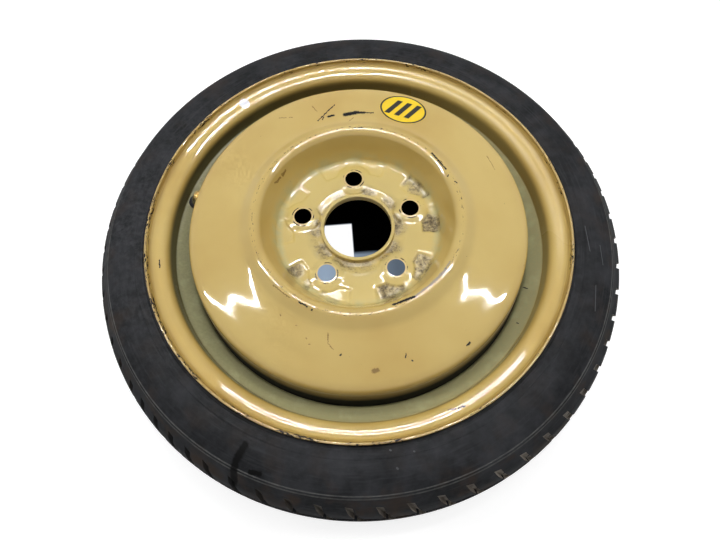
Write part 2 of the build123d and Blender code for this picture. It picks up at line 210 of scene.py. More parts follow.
def newMaterial(name):
    material = bpy.data.materials.new(name)
    material.use_nodes = True
    tree = material.node_tree
    tree.nodes.clear()
    return material, tree


# object coordinates in millimetres, with the radius and the angle about the wheel's axis
def wheelPoint(tree):
    place = addNode(tree, "ShaderNodeTexCoord").outputs["Object"]
    point = addNode(tree, "ShaderNodeVectorMath", {0: place, "Scale": 1 / mm}, operation="SCALE")
    parts = addNode(tree, "ShaderNodeSeparateXYZ", {0: point}).outputs
    flat = addNode(tree, "ShaderNodeCombineXYZ", {"X": parts["X"], "Y": parts["Y"]})
    radius = addNode(tree, "ShaderNodeVectorMath", {0: flat}, operation="LENGTH")
    angle = addNode(tree, "ShaderNodeMath", {0: parts["Y"], 1: parts["X"]}, operation="ARCTAN2")
    return point, flat, radius, angle, parts["Z"]


# a soft line from one point to another, 1 on the line and 0 beyond its width
def strokeGroup():
    tree = bpy.data.node_groups.new("paintStroke", "ShaderNodeTree")
    for label in ("Point", "From", "To"):
        tree.interface.new_socket(label, in_out="INPUT", socket_type="NodeSocketVector")
    tree.interface.new_socket("Width", in_out="INPUT", socket_type="NodeSocketFloat")
    tree.interface.new_socket("Mask", in_out="OUTPUT", socket_type="NodeSocketFloat")
    given = addNode(tree, "NodeGroupInput").outputs
    arm = addNode(tree, "ShaderNodeVectorMath", {0: given["Point"], 1: given["From"]}, operation="SUBTRACT")
    run = addNode(tree, "ShaderNodeVectorMath", {0: given["To"], 1: given["From"]}, operation="SUBTRACT")
    above = addNode(tree, "ShaderNodeVectorMath", {0: arm, 1: run}, operation="DOT_PRODUCT")
    below = addNode(tree, "ShaderNodeVectorMath", {0: run, 1: run}, operation="DOT_PRODUCT")
    share = addNode(tree, "ShaderNodeMath", {0: above, 1: below}, operation="DIVIDE", use_clamp=True)
    foot = addNode(tree, "ShaderNodeVectorMath", {0: run, "Scale": share}, operation="SCALE")
    off = addNode(tree, "ShaderNodeVectorMath", {0: arm, 1: foot}, operation="DISTANCE")
    inner = addNode(tree, "ShaderNodeMath", {0: given["Width"], 1: 0.45}, operation="MULTIPLY")
    mask = addNode(tree, "ShaderNodeMapRange", {"Value": off, "From Min": given["Width"], "From Max": inner},
                   interpolation_type="SMOOTHSTEP")
    addNode(tree, "NodeGroupOutput", {"Mask": mask})
    return tree


strokeTree = strokeGroup()


# all strokes of one colour as one mask
def strokes(tree, point, marks):
    total = None
    for fromX, fromY, toX, toY, width in marks:
        one = addNode(tree, "ShaderNodeGroup", node_tree=strokeTree)
        tree.links.new(point.outputs[0], one.inputs["Point"])
        one.inputs["From"].default_value = (fromX, fromY, 0)
        one.inputs["To"].default_value = (toX, toY, 0)
        one.inputs["Width"].default_value = width
        total = one if total is None else addNode(tree, "ShaderNodeMath", {0: total, 1: one},
                                                  operation="MAXIMUM")
    return total


photoCamera = {
    "place": (-6.59, -233.15, 558.02),
    "right": (0.99685, -0.07666, -0.02031),
    "up": (0.07858, 0.92008, 0.38376),
    "forward": (0.01073, 0.38415, -0.92321),
    "lens": 25.305,
}


def setCamera(settings):
    data = bpy.data.cameras.new("photoCamera")
    data.lens = settings["lens"]
    data.sensor_width = 36.0
    data.sensor_fit = "HORIZONTAL"
    data.clip_start = 0.01
    camera = bpy.data.objects.new("photoCamera", data)
    axes = Matrix((settings["right"], settings["up"], -Vector(settings["forward"]))).transposed()
    camera.matrix_world = Matrix.Translation(Vector(settings["place"]) * mm) @ axes.to_4x4()
    bpy.context.scene.collection.objects.link(camera)
    bpy.context.scene.camera = camera


setCamera(photoCamera)


studio = {
    "height": 2.0,  # metres above the floor
    # middle x, middle y, length, width, turn in degrees, watts
    "tubes": {
        "leftTube": (-1.60, 0.22, 1.80, 0.04, 11.5, 13),
        "rightTube": (1.35, 0.10, 1.20, 0.045, -19.5, 11),
        "middleNearTube": (0.12, 0.22, 0.70, 0.03, 8, 4.5),
        "middleFarTube": (0.05, 0.68, 0.90, 0.03, 0, 5),
        "farTube": (0.05, 0.92, 0.90, 0.03, 0, 4.5),
    },
    # strips that only show as reflections: from x, y to x, y, width, watts a square metre
    "glints": {
        "leftGlint": (-2.30, 0.37, -0.74, 0.37, 0.05, 900),
        "rightGlint": (0.72, 0.325, 1.35, 0.17, 0.05, 800),
        "nearGlint": (-0.25, 0.18, 0.45, 0.26, 0.03, 1100),
        "farGlint": (-0.40, 0.50, 0.50, 0.50, 0.03, 1000),
        "frontGlint": (-0.90, -0.10, 1.40, -0.10, 0.03, 900),
    },
    "softbox": (0.0, 0.5, 3.2, 3.2, 0, 22),
    "skyLight": 0.16,
    "floorGlow": 0.74,
    "wheelShade": (0.17, 0.21),  # the floor under the wheel doesn't glow
    # but for what shows through the bore and the bolt holes: painted light, a glowing bright corner of board and a
    # dim bluish glowing strip
    "paintedLightCorner": (-0.0058, 0.0110, 0.0622),
    "paintedLightStrip": (0.024, 0.019), "paintedLightTint": "#9DB0C6",
}


def hangLamp(name, height, x, y, length, width, turn, watts):
    data = bpy.data.lights.new(name, "AREA")
    data.shape = "RECTANGLE"
    data.size = length
    data.size_y = width
    data.energy = watts
    lamp = bpy.data.objects.new(name, data)
    lamp.location = (x, y, height)
    lamp.rotation_euler = (0, 0, math.radians(turn))
    bpy.context.scene.collection.objects.link(lamp)
    return lamp


def setLights(settings):
    for name, tube in settings["tubes"].items():
        lit = hangLamp(name, settings["height"], *tube)
        lit.visible_glossy = False
    for name, (fromX, fromY, toX, toY, width, glow) in settings["glints"].items():
        length = math.hypot(toX - fromX, toY - fromY)
        turn = math.degrees(math.atan2(toY - fromY, toX - fromX))
        strip = hangLamp(name, settings["height"], (fromX + toX) / 2, (fromY + toY) / 2, length, width, turn,
                         glow * length * width)
        strip.visible_diffuse = False
    bounce = hangLamp("ceilingBounce", settings["height"] + 0.4, *settings["softbox"])
    bounce.visible_glossy = False
    world = bpy.data.worlds.new("paleStudio")
    bpy.context.scene.world = world
    world.use_nodes = True
    tree = world.node_tree
    tree.nodes.clear()
    path = addNode(tree, "ShaderNodeLightPath").outputs
    seen = addNode(tree, "ShaderNodeMath", {0: path["Is Camera Ray"], 1: path["Is Transmission Ray"]},
                   operation="MAXIMUM")
    seen = addNode(tree, "ShaderNodeMath", {0: seen, 1: path["Is Glossy Ray"]}, operation="MAXIMUM")
    level = addNode(tree, "ShaderNodeMapRange", {"Value": seen, "To Min": settings["skyLight"], "To Max": 1.0})
    back = addNode(tree, "ShaderNodeBackground", {"Color": linear("#FFFFFF"), "Strength": level})
    addNode(tree, "ShaderNodeOutputWorld", {"Surface": back})


def setFloor(settings):
    half = 4000
    floor = makePiece("paleFloor", [(-half, -half, -0.4), (half, -half, -0.4), (half, half, -0.4),
                                    (-half, half, -0.4)], [(0, 1, 2, 3)])
    material, tree = newMaterial("matt white studio board")
    path = addNode(tree, "ShaderNodeLightPath").outputs
    plain = addNode(tree, "ShaderNodeBsdfDiffuse", {"Color": linear("#EDEDEB")})
    place = addNode(tree, "ShaderNodeTexCoord").outputs["Object"]
    away = addNode(tree, "ShaderNodeVectorMath", {0: place}, operation="LENGTH")
    openFloor = addNode(tree, "ShaderNodeMapRange", {"Value": away, "From Min": settings["wheelShade"][0],
                                                 "From Max": settings["wheelShade"][1]})
    # under the wheel the board is painted near black: painted shade
    board = addNode(tree, "ShaderNodeMix", {"Factor": openFloor, "A": linear("#0B0B0C"), "B": linear("#B9B9B9")},
                    data_type="RGBA")
    shaded = addNode(tree, "ShaderNodeBsdfDiffuse", {"Color": board})
    level = addNode(tree, "ShaderNodeMapRange", {"Value": away, "From Min": settings["wheelShade"][0],
                                                 "From Max": settings["wheelShade"][1],
                                                 "To Max": settings["floorGlow"]})
    # painted light for what shows through the bore and bolt holes: a glowing bright corner and a dim bluish glowing
    # strip
    parts = addNode(tree, "ShaderNodeSeparateXYZ", {0: place}).outputs
    right, low, top = settings["paintedLightCorner"]
    corner = addNode(tree, "ShaderNodeMapRange", {"Value": parts["X"], "From Min": right + 0.0006,
                                                  "From Max": right - 0.0006})
    for limit, ease in ((low, 0.001), (top, -0.001)):
        side = addNode(tree, "ShaderNodeMapRange", {"Value": parts["Y"], "From Min": limit - ease,
                                                    "From Max": limit + ease})
        corner = addNode(tree, "ShaderNodeMath", {0: corner, 1: side}, operation="MULTIPLY")
    strip = addNode(tree, "ShaderNodeMapRange", {"Value": parts["Y"], "From Min": settings["paintedLightStrip"][0],
                                                 "From Max": settings["paintedLightStrip"][1]})
    across = addNode(tree, "ShaderNodeMapRange", {"Value": parts["X"], "From Min": -0.04, "From Max": 0.045,
                                                  "To Min": 0.85, "To Max": 0.3})
    strip = addNode(tree, "ShaderNodeMath", {0: strip, 1: across}, operation="MULTIPLY")
    paintedLightThroughBore = addNode(tree, "ShaderNodeMath", {0: corner, 1: strip}, operation="MAXIMUM")
    underHub = addNode(tree, "ShaderNodeMapRange", {"Value": away, "From Min": 0.1, "From Max": 0.09})
    paintedLightThroughBore = addNode(tree, "ShaderNodeMath", {0: paintedLightThroughBore, 1: underHub}, operation="MULTIPLY")
    white = addNode(tree, "ShaderNodeMath", {0: corner, 1: openFloor}, operation="MAXIMUM")
    tint = addNode(tree, "ShaderNodeMix", {"Factor": white, "A": linear(settings["paintedLightTint"]),
                                           "B": linear("#FFFFFF")}, data_type="RGBA")
    level = addNode(tree, "ShaderNodeMath", {0: level, 1: paintedLightThroughBore}, operation="MAXIMUM")
    glow = addNode(tree, "ShaderNodeEmission", {"Color": tint, "Strength": level})
    lifted = addNode(tree, "ShaderNodeAddShader", {0: shaded, 1: glow})
    mixed = addNode(tree, "ShaderNodeMixShader", {0: path["Is Camera Ray"], 1: plain, 2: lifted})
    addNode(tree, "ShaderNodeOutputMaterial", {"Surface": mixed})
    floor.data.materials.append(material)


bpy.context.scene.view_settings.view_transform = "Standard"
setLights(studio)
setFloor(studio)
print("camera, lamps and floor set")


# stoved enamel on pressed steel: glossy ochre-yellow skin, chipped dark at edges, hub floor speckled with grime
discFinish = {
    "enamel": "#CFB46B", "enamelDeep": "#C4A55B", "hubTint": "#CBB976", "footTint": "#B2B083",
    "skirtShadeAndDirt": "#15150F", "grime": "#3A2F20", "grimeFilm": "#7E6D49", "chip": "#17171A", "rust": "#6A4A22",
    "scuff": "#A89B84", "seatRing": "#DABF88", "seatDark": "#14110D",
    "blackChips": [
        (-32.4, 118.1, -14.1, 138.8, 0.9), (-3.7, 123.3, 9.0, 125.2, 3.4), (9.0, 125.0, 16.5, 124.2, 2.2),
        (16.5, 124.2, 26.0, 123.2, 1.0), (-27.6, 119.0, -26.4, 122.6, 0.7), (-21.5, 122.5, -16.0, 123.8, 1.9),
        (79.1, 60.9, 90.2, 41.0, 1.1), (91.5, 34.6, 91.0, 32.8, 0.9), (96.4, 26.6, 98.6, 24.6, 0.9),
        (25.0, -93.2, 43.8, -87.6, 1.5), (31.6, -135.0, 31.2, -138.6, 0.7), (36.5, -140.8, 36.9, -141.4, 0.8),
        (85.6, -131.4, 88.8, -129.4, 1.1), (-24.8, -131.9, -24.0, -131.4, 1.0), (-57.5, -84.0, -50.5, -88.8, 0.9),
        (-46.9, -91.6, -46.2, -92.2, 0.9), (2.2, 98.6, 13.0, 98.0, 0.6),
    ],
    "thinScratches": [
        (-38.2, 140.1, -33.0, 131.4, 0.55), (-0.2, 113.0, 4.9, 118.2, 0.5), (-73.8, 127.8, -66.0, 127.2, 0.6),
        (-63.0, 127.0, -59.8, 126.7, 0.6), (-78.5, 45.5, -73.0, 52.6, 0.7), (-71.5, 54.6, -67.3, 60.3, 0.8),
        (136.4, 60.5, 141.3, 43.1, 0.4), (-34.0, -112.2, -34.6, -121.0, 0.45), (-34.6, -121.0, -30.5, -126.4, 0.45),
        (-80.0, -66.0, -66.0, -79.0, 0.6), (-75.5, -92.2, -74.9, -92.6, 0.7), (-61.6, -102.6, -61.0, -103.0, 0.7),
        (-53.3, -114.8, -52.6, -115.3, 0.7), (-51.0, -120.2, -50.4, -120.6, 0.7), (3.2, -147.5, 6.4, -147.0, 2.6),
    ],
    "scuffs": [(45.0, -87.0, 60.0, -77.4, 1.5), (60.0, -77.4, 75.0, -64.5, 1.7), (66.0, -73.5, 80.0, -57.0, 0.9)],
    # grime lying in the pockets and round the bore: x, y, reach, strength
    "pocketGrime": [
        (53, 53, 10, 0.75), (64, 42, 12, 0.8), (74, 29, 9, 0.7), (72, -1, 16, 1.0), (58, -44, 17, 0.85),
        (50, -56, 12, 0.75), (25, -68, 15, 0.95), (38, -63, 11, 0.8), (-64, -40, 11, 0.95), (-50, -56, 9, 0.5),
        (-40, -63, 8, 0.5), (-27, -70, 9, 0.25), (-66, 12, 9, 0.35),
    ],
    "boreGrime": [
        (39, 2, 17, 0.8), (36, 27, 13, 0.75), (30, -28, 18, 0.7), (0, -41, 20, 0.55), (-20, -38, 14, 0.65),
        (-38, -23, 14, 0.75), (-44, 5, 15, 0.75), (-33, 25, 10, 0.5), (14, 42, 11, 0.75), (-17, 40, 10, 0.5),
        (48, 5, 10, 0.5), (-47, -14, 10, 0.45),
    ],
}
hubSizes = {"boltCircle": 57.15, "boltCount": 5, "boltStart": 90.0, "holeRadius": 7.75, "seatRadius": 8.8,
            "seatAngle": 30.0, "collar": 10.3, "collarRise": 0.35, "bossTop": 11.2, "bossFoot": 17.0, "bossRise": 1.5,
            "pocketIn": 64.0, "pocketFrom": 4.0, "pocketTo": 26.5, "pocketDepth": 1.5}


def discEnamel(finish, hub):
    material, tree = newMaterial("stoved enamel on pressed steel disc")
    point, flat, radius, angle, height = wheelPoint(tree)
    # slow drift of the sprayed coat over about 90 mm
    drift = addNode(tree, "ShaderNodeTexNoise", {"Vector": point, "Scale": 1 / 90, "Detail": 3.0})
    driftStep = addNode(tree, "ShaderNodeMapRange", {"Value": drift, "From Min": 0.35, "From Max": 0.7})
    coat = addNode(tree, "ShaderNodeMix", {"Factor": driftStep, "A": linear(finish["enamel"]),
                                           "B": linear(finish["enamelDeep"])}, data_type="RGBA")
    inHub = addNode(tree, "ShaderNodeMapRange", {"Value": radius, "From Min": 88, "From Max": 76, "To Max": 0.6},
                    interpolation_type="SMOOTHSTEP")
    coat = addNode(tree, "ShaderNodeMix", {"Factor": inHub, "A": coat, "B": linear(finish["hubTint"])},
                   data_type="RGBA")
    # paler greenish tone in patches where the floor turns up into the wall
    footOff = addNode(tree, "ShaderNodeMath", {0: radius, 1: 80.5}, operation="SUBTRACT")
    footOff = addNode(tree, "ShaderNodeMath", {0: footOff}, operation="ABSOLUTE")
    footRing = addNode(tree, "ShaderNodeMapRange", {"Value": footOff, "From Min": 7, "From Max": 1, "To Max": 0.7},
                       interpolation_type="SMOOTHSTEP")
    patchy = addNode(tree, "ShaderNodeTexNoise", {"Vector": point, "Scale": 1 / 14, "Detail": 4.0})
    patchStep = addNode(tree, "ShaderNodeMapRange", {"Value": patchy, "From Min": 0.35, "From Max": 0.62})
    film = addNode(tree, "ShaderNodeMath", {0: footRing, 1: patchStep}, operation="MULTIPLY")
    coat = addNode(tree, "ShaderNodeMix", {"Factor": film, "A": coat, "B": linear(finish["footTint"])},
                   data_type="RGBA")
    # painted shade on the skirt below the dome's edge, with some dirt: dark and rougher
    outward = addNode(tree, "ShaderNodeMapRange", {"Value": radius, "From Min": 163.5, "From Max": 168})
    below = addNode(tree, "ShaderNodeMapRange", {"Value": height, "From Min": 118.5, "From Max": 111},
                    interpolation_type="SMOOTHSTEP")
    skirt = addNode(tree, "ShaderNodeMath", {0: outward, 1: below}, operation="MULTIPLY")
    coat = addNode(tree, "ShaderNodeMix", {"Factor": skirt, "A": coat, "B": linear(finish["skirtShadeAndDirt"])},
                   data_type="RGBA")

    # bolt circle folded onto one bolt: distance to its centre and to its pocket's border
    turn = addNode(tree, "ShaderNodeMath", {0: angle, 1: math.radians(hub["boltStart"])}, operation="SUBTRACT")
    half = math.pi / hub["boltCount"]
    fold = addNode(tree, "ShaderNodeMath", {0: turn, 1: half, 2: -half}, operation="WRAP")
    fold = addNode(tree, "ShaderNodeMath", {0: fold}, operation="ABSOLUTE")
    cosine = addNode(tree, "ShaderNodeMath", {0: fold}, operation="COSINE")
    sine = addNode(tree, "ShaderNodeMath", {0: fold}, operation="SINE")
    foldX = addNode(tree, "ShaderNodeMath", {0: radius, 1: cosine}, operation="MULTIPLY")
    foldY = addNode(tree, "ShaderNodeMath", {0: radius, 1: sine}, operation="MULTIPLY")
    folded = addNode(tree, "ShaderNodeCombineXYZ", {"X": foldX, "Y": foldY})
    bolt = addNode(tree, "ShaderNodeVectorMath", {0: folded, 1: (hub["boltCircle"], 0, 0)}, operation="DISTANCE")
    sides = [
        addNode(tree, "ShaderNodeMath", {0: hub["pocketIn"], 1: radius}, operation="SUBTRACT"),
        addNode(tree, "ShaderNodeMath", {0: hub["bossFoot"], 1: bolt}, operation="SUBTRACT"),
    ]
    for limit, sign in ((hub["pocketFrom"], -1), (hub["pocketTo"], 1)):
        gap = addNode(tree, "ShaderNodeMath", {0: fold, 1: math.radians(limit)}, operation="SUBTRACT")
        gap = addNode(tree, "ShaderNodeMath", {0: gap, 1: sign}, operation="MULTIPLY")
        sides.append(addNode(tree, "ShaderNodeMath", {0: gap, 1: radius}, operation="MULTIPLY"))
    border = sides[0]
    for side in sides[1:]:
        border = addNode(tree, "ShaderNodeMath", {0: border, 1: side}, operation="MAXIMUM")

    # brown-black grime: weighted by place, a brown film broken up into specks of about a millimetre
    inPocket = addNode(tree, "ShaderNodeMapRange", {"Value": border, "From Min": 0.6, "From Max": -1.4})
    nearBore = addNode(tree, "ShaderNodeMapRange", {"Value": radius, "From Min": 54, "From Max": 44})
    weight = None
    for marks, where in (("pocketGrime", inPocket), ("boreGrime", nearBore)):
        for x, y, size, strength in finish[marks]:
            far = addNode(tree, "ShaderNodeVectorMath", {0: flat, 1: (x, y, 0)}, operation="DISTANCE")
            one = addNode(tree, "ShaderNodeMapRange", {"Value": far, "From Min": size, "From Max": size * 0.45,
                                                       "To Max": strength}, interpolation_type="SMOOTHSTEP")
            one = addNode(tree, "ShaderNodeMath", {0: one, 1: where}, operation="MULTIPLY")
            weight = one if weight is None else addNode(tree, "ShaderNodeMath", {0: weight, 1: one},
                                                        operation="MAXIMUM")
    floorOnly = addNode(tree, "ShaderNodeMapRange", {"Value": height, "From Min": 110.5, "From Max": 107.6})
    weight = addNode(tree, "ShaderNodeMath", {0: weight, 1: floorOnly}, operation="MULTIPLY")
    offBoss = addNode(tree, "ShaderNodeMapRange", {"Value": bolt, "From Min": 11.5, "From Max": 16.5,
                                                   "To Min": 0.1, "To Max": 1.0})
    weight = addNode(tree, "ShaderNodeMath", {0: weight, 1: offBoss}, operation="MULTIPLY")
    clouds = addNode(tree, "ShaderNodeTexNoise", {"Vector": point, "Scale": 1 / 7, "Detail": 4.0})
    cloudStep = addNode(tree, "ShaderNodeMapRange", {"Value": clouds, "From Min": 0.3, "From Max": 0.6,
                                                     "To Min": 0.35})
    weight = addNode(tree, "ShaderNodeMath", {0: weight, 1: cloudStep}, operation="MULTIPLY")
    filmShare = addNode(tree, "ShaderNodeMath", {0: weight, 1: 0.9}, operation="MULTIPLY")
    coat = addNode(tree, "ShaderNodeMix", {"Factor": filmShare, "A": coat, "B": linear(finish["grimeFilm"])},
                   data_type="RGBA")
    specks = addNode(tree, "ShaderNodeTexNoise", {"Vector": point, "Scale": 1 / 2.2, "Detail": 4.0,
                                                  "Roughness": 0.7})
    lifted = addNode(tree, "ShaderNodeMath", {0: weight, 1: 0.32, 2: specks}, operation="MULTIPLY_ADD")
    grime = addNode(tree, "ShaderNodeMapRange", {"Value": lifted, "From Min": 0.62, "From Max": 0.92,
                                                 "To Max": 0.85})
    here = addNode(tree, "ShaderNodeMapRange", {"Value": weight, "From Min": 0.03, "From Max": 0.2})
    grime = addNode(tree, "ShaderNodeMath", {0: grime, 1: here}, operation="MULTIPLY")
    # dark broken arcs just outside the nut collars
    edgeNoise = addNode(tree, "ShaderNodeTexNoise", {"Vector": point, "Scale": 1 / 9, "Detail": 3.0})
    edgeStep = addNode(tree, "ShaderNodeMapRange", {"Value": edgeNoise, "From Min": 0.5, "From Max": 0.58})
    bossOff = addNode(tree, "ShaderNodeMath", {0: bolt, 1: hub["collar"] + 0.5}, operation="SUBTRACT")
    bossOff = addNode(tree, "ShaderNodeMath", {0: bossOff}, operation="ABSOLUTE")
    bossLine = addNode(tree, "ShaderNodeMapRange", {"Value": bossOff, "From Min": 1.0, "From Max": 0.3})
    lines = addNode(tree, "ShaderNodeMath", {0: bossLine, 1: edgeStep}, operation="MULTIPLY")
    grime = addNode(tree, "ShaderNodeMath", {0: grime, 1: lines}, operation="MAXIMUM")
    coat = addNode(tree, "ShaderNodeMix", {"Factor": grime, "A": coat, "B": linear(finish["grime"])},
                   data_type="RGBA")
    # nut collars painted paler, the seat cones below them near black
    onCollar = addNode(tree, "ShaderNodeMapRange", {"Value": bolt, "From Min": hub["collar"],
                                                    "From Max": hub["collar"] - 0.5, "To Max": 0.7})
    coat = addNode(tree, "ShaderNodeMix", {"Factor": onCollar, "A": coat, "B": linear(finish["seatRing"])},
                   data_type="RGBA")
    inSeat = addNode(tree, "ShaderNodeMapRange", {"Value": bolt, "From Min": hub["seatRadius"] + 0.1,
                                                  "From Max": hub["seatRadius"] - 0.3})
    coat = addNode(tree, "ShaderNodeMix", {"Factor": inSeat, "A": coat, "B": linear(finish["seatDark"])},
                   data_type="RGBA")

    # chips: ragged lines where the coat was knocked off, and a dotted ring of them along the crest
    jitter = addNode(tree, "ShaderNodeTexNoise", {"Vector": point, "Scale": 1 / 1.8, "Detail": 2.0})
    shift = addNode(tree, "ShaderNodeVectorMath", {0: jitter.outputs["Color"], 1: (0.5, 0.5, 0.5)},
                    operation="SUBTRACT")
    shift = addNode(tree, "ShaderNodeVectorMath", {0: shift, 1: (2.4, 2.4, 0)}, operation="MULTIPLY")
    ragged = addNode(tree, "ShaderNodeVectorMath", {0: flat, 1: shift}, operation="ADD")
    black = strokes(tree, ragged, finish["blackChips"])
    thin = strokes(tree, ragged, finish["thinScratches"])
    scuff = strokes(tree, ragged, finish["scuffs"])
    alongRing = addNode(tree, "ShaderNodeMath", {0: angle, 1: 99 / 4.5}, operation="MULTIPLY")
    acrossRing = addNode(tree, "ShaderNodeMath", {0: radius, 1: 1 / 1.1}, operation="MULTIPLY")
    ringPoint = addNode(tree, "ShaderNodeCombineXYZ", {"X": alongRing, "Y": acrossRing})
    ringNoise = addNode(tree, "ShaderNodeTexNoise", {"Vector": ringPoint, "Scale": 1.0, "Detail": 2.0})
    crestOff = addNode(tree, "ShaderNodeMath", {0: radius, 1: 99.6}, operation="SUBTRACT")
    crestOff = addNode(tree, "ShaderNodeMath", {0: crestOff}, operation="ABSOLUTE")
    crestBand = addNode(tree, "ShaderNodeMapRange", {"Value": crestOff, "From Min": 3.4, "From Max": 0.6,
                                                     "To Max": 0.16})
    ringSum = addNode(tree, "ShaderNodeMath", {0: ringNoise, 1: crestBand}, operation="ADD")
    ringChips = addNode(tree, "ShaderNodeMapRange", {"Value": ringSum, "From Min": 0.76, "From Max": 0.81})
    black = addNode(tree, "ShaderNodeMath", {0: black, 1: ringChips}, operation="MAXIMUM")
    thin = addNode(tree, "ShaderNodeMath", {0: thin, 1: 0.7}, operation="MULTIPLY")
    coat = addNode(tree, "ShaderNodeMix", {"Factor": scuff, "A": coat, "B": linear(finish["scuff"])},
                   data_type="RGBA")
    coat = addNode(tree, "ShaderNodeMix", {"Factor": thin, "A": coat, "B": linear(finish["rust"])},
                   data_type="RGBA")
    coat = addNode(tree, "ShaderNodeMix", {"Factor": black, "A": coat, "B": linear(finish["chip"])},
                   data_type="RGBA")

    worn = addNode(tree, "ShaderNodeMath", {0: black, 1: grime}, operation="MAXIMUM")
    worn = addNode(tree, "ShaderNodeMath", {0: worn, 1: filmShare}, operation="MAXIMUM")
    worn = addNode(tree, "ShaderNodeMath", {0: worn, 1: inSeat}, operation="MAXIMUM")
    worn = addNode(tree, "ShaderNodeMath", {0: worn, 1: skirt}, operation="MAXIMUM")
    rough = addNode(tree, "ShaderNodeMapRange", {"Value": worn, "To Min": 0.05, "To Max": 0.75})
    shine = addNode(tree, "ShaderNodeMapRange", {"Value": worn, "To Min": 0.5, "To Max": 0.08})
    wave = addNode(tree, "ShaderNodeTexNoise", {"Vector": point, "Scale": 1 / 28, "Detail": 1.0})
    lift = addNode(tree, "ShaderNodeMath", {0: worn, 1: -0.12, 2: wave}, operation="MULTIPLY_ADD")
    bump = addNode(tree, "ShaderNodeBump", {"Height": lift, "Strength": 0.35, "Distance": 0.0004})
    shader = addNode(tree, "ShaderNodeBsdfPrincipled", {"Base Color": coat, "Roughness": rough, "IOR": 1.5,
                                                        "Specular IOR Level": shine, "Normal": bump})
    addNode(tree, "ShaderNodeOutputMaterial", {"Surface": shader})
    return material


# the same enamel on the rolled rim: brown along the lip, olive dust down in the well, bare chips on the edge
rimFinish = {
    "enamel": "#CFB46B", "enamelDeep": "#C4A55B", "curlShadeAndStain": "#8C6630", "wellDust": "#97946A",
    "wellPale": "#AAA97F", "wellPaintedShade": "#45442E", "chip": "#1D1A18", "paleEdgeWearAndHighlight": "#DCC795", "whiteDot": "#E9E9EA",
    "dotPlace": (-113.3, 160.6), "dotRadius": 6.0,
    "blackChips": [
        (-193.6, -21.8, -192.6, -29.6, 0.9), (63.1, -183.2, 70.0, -182.6, 0.6), (72.0, -182.4, 78.0, -180.9, 0.8),
        (158.6, -69.0, 161.4, -71.4, 0.8), (144.0, -105.5, 145.0, -106.2, 0.8),
    ],
}


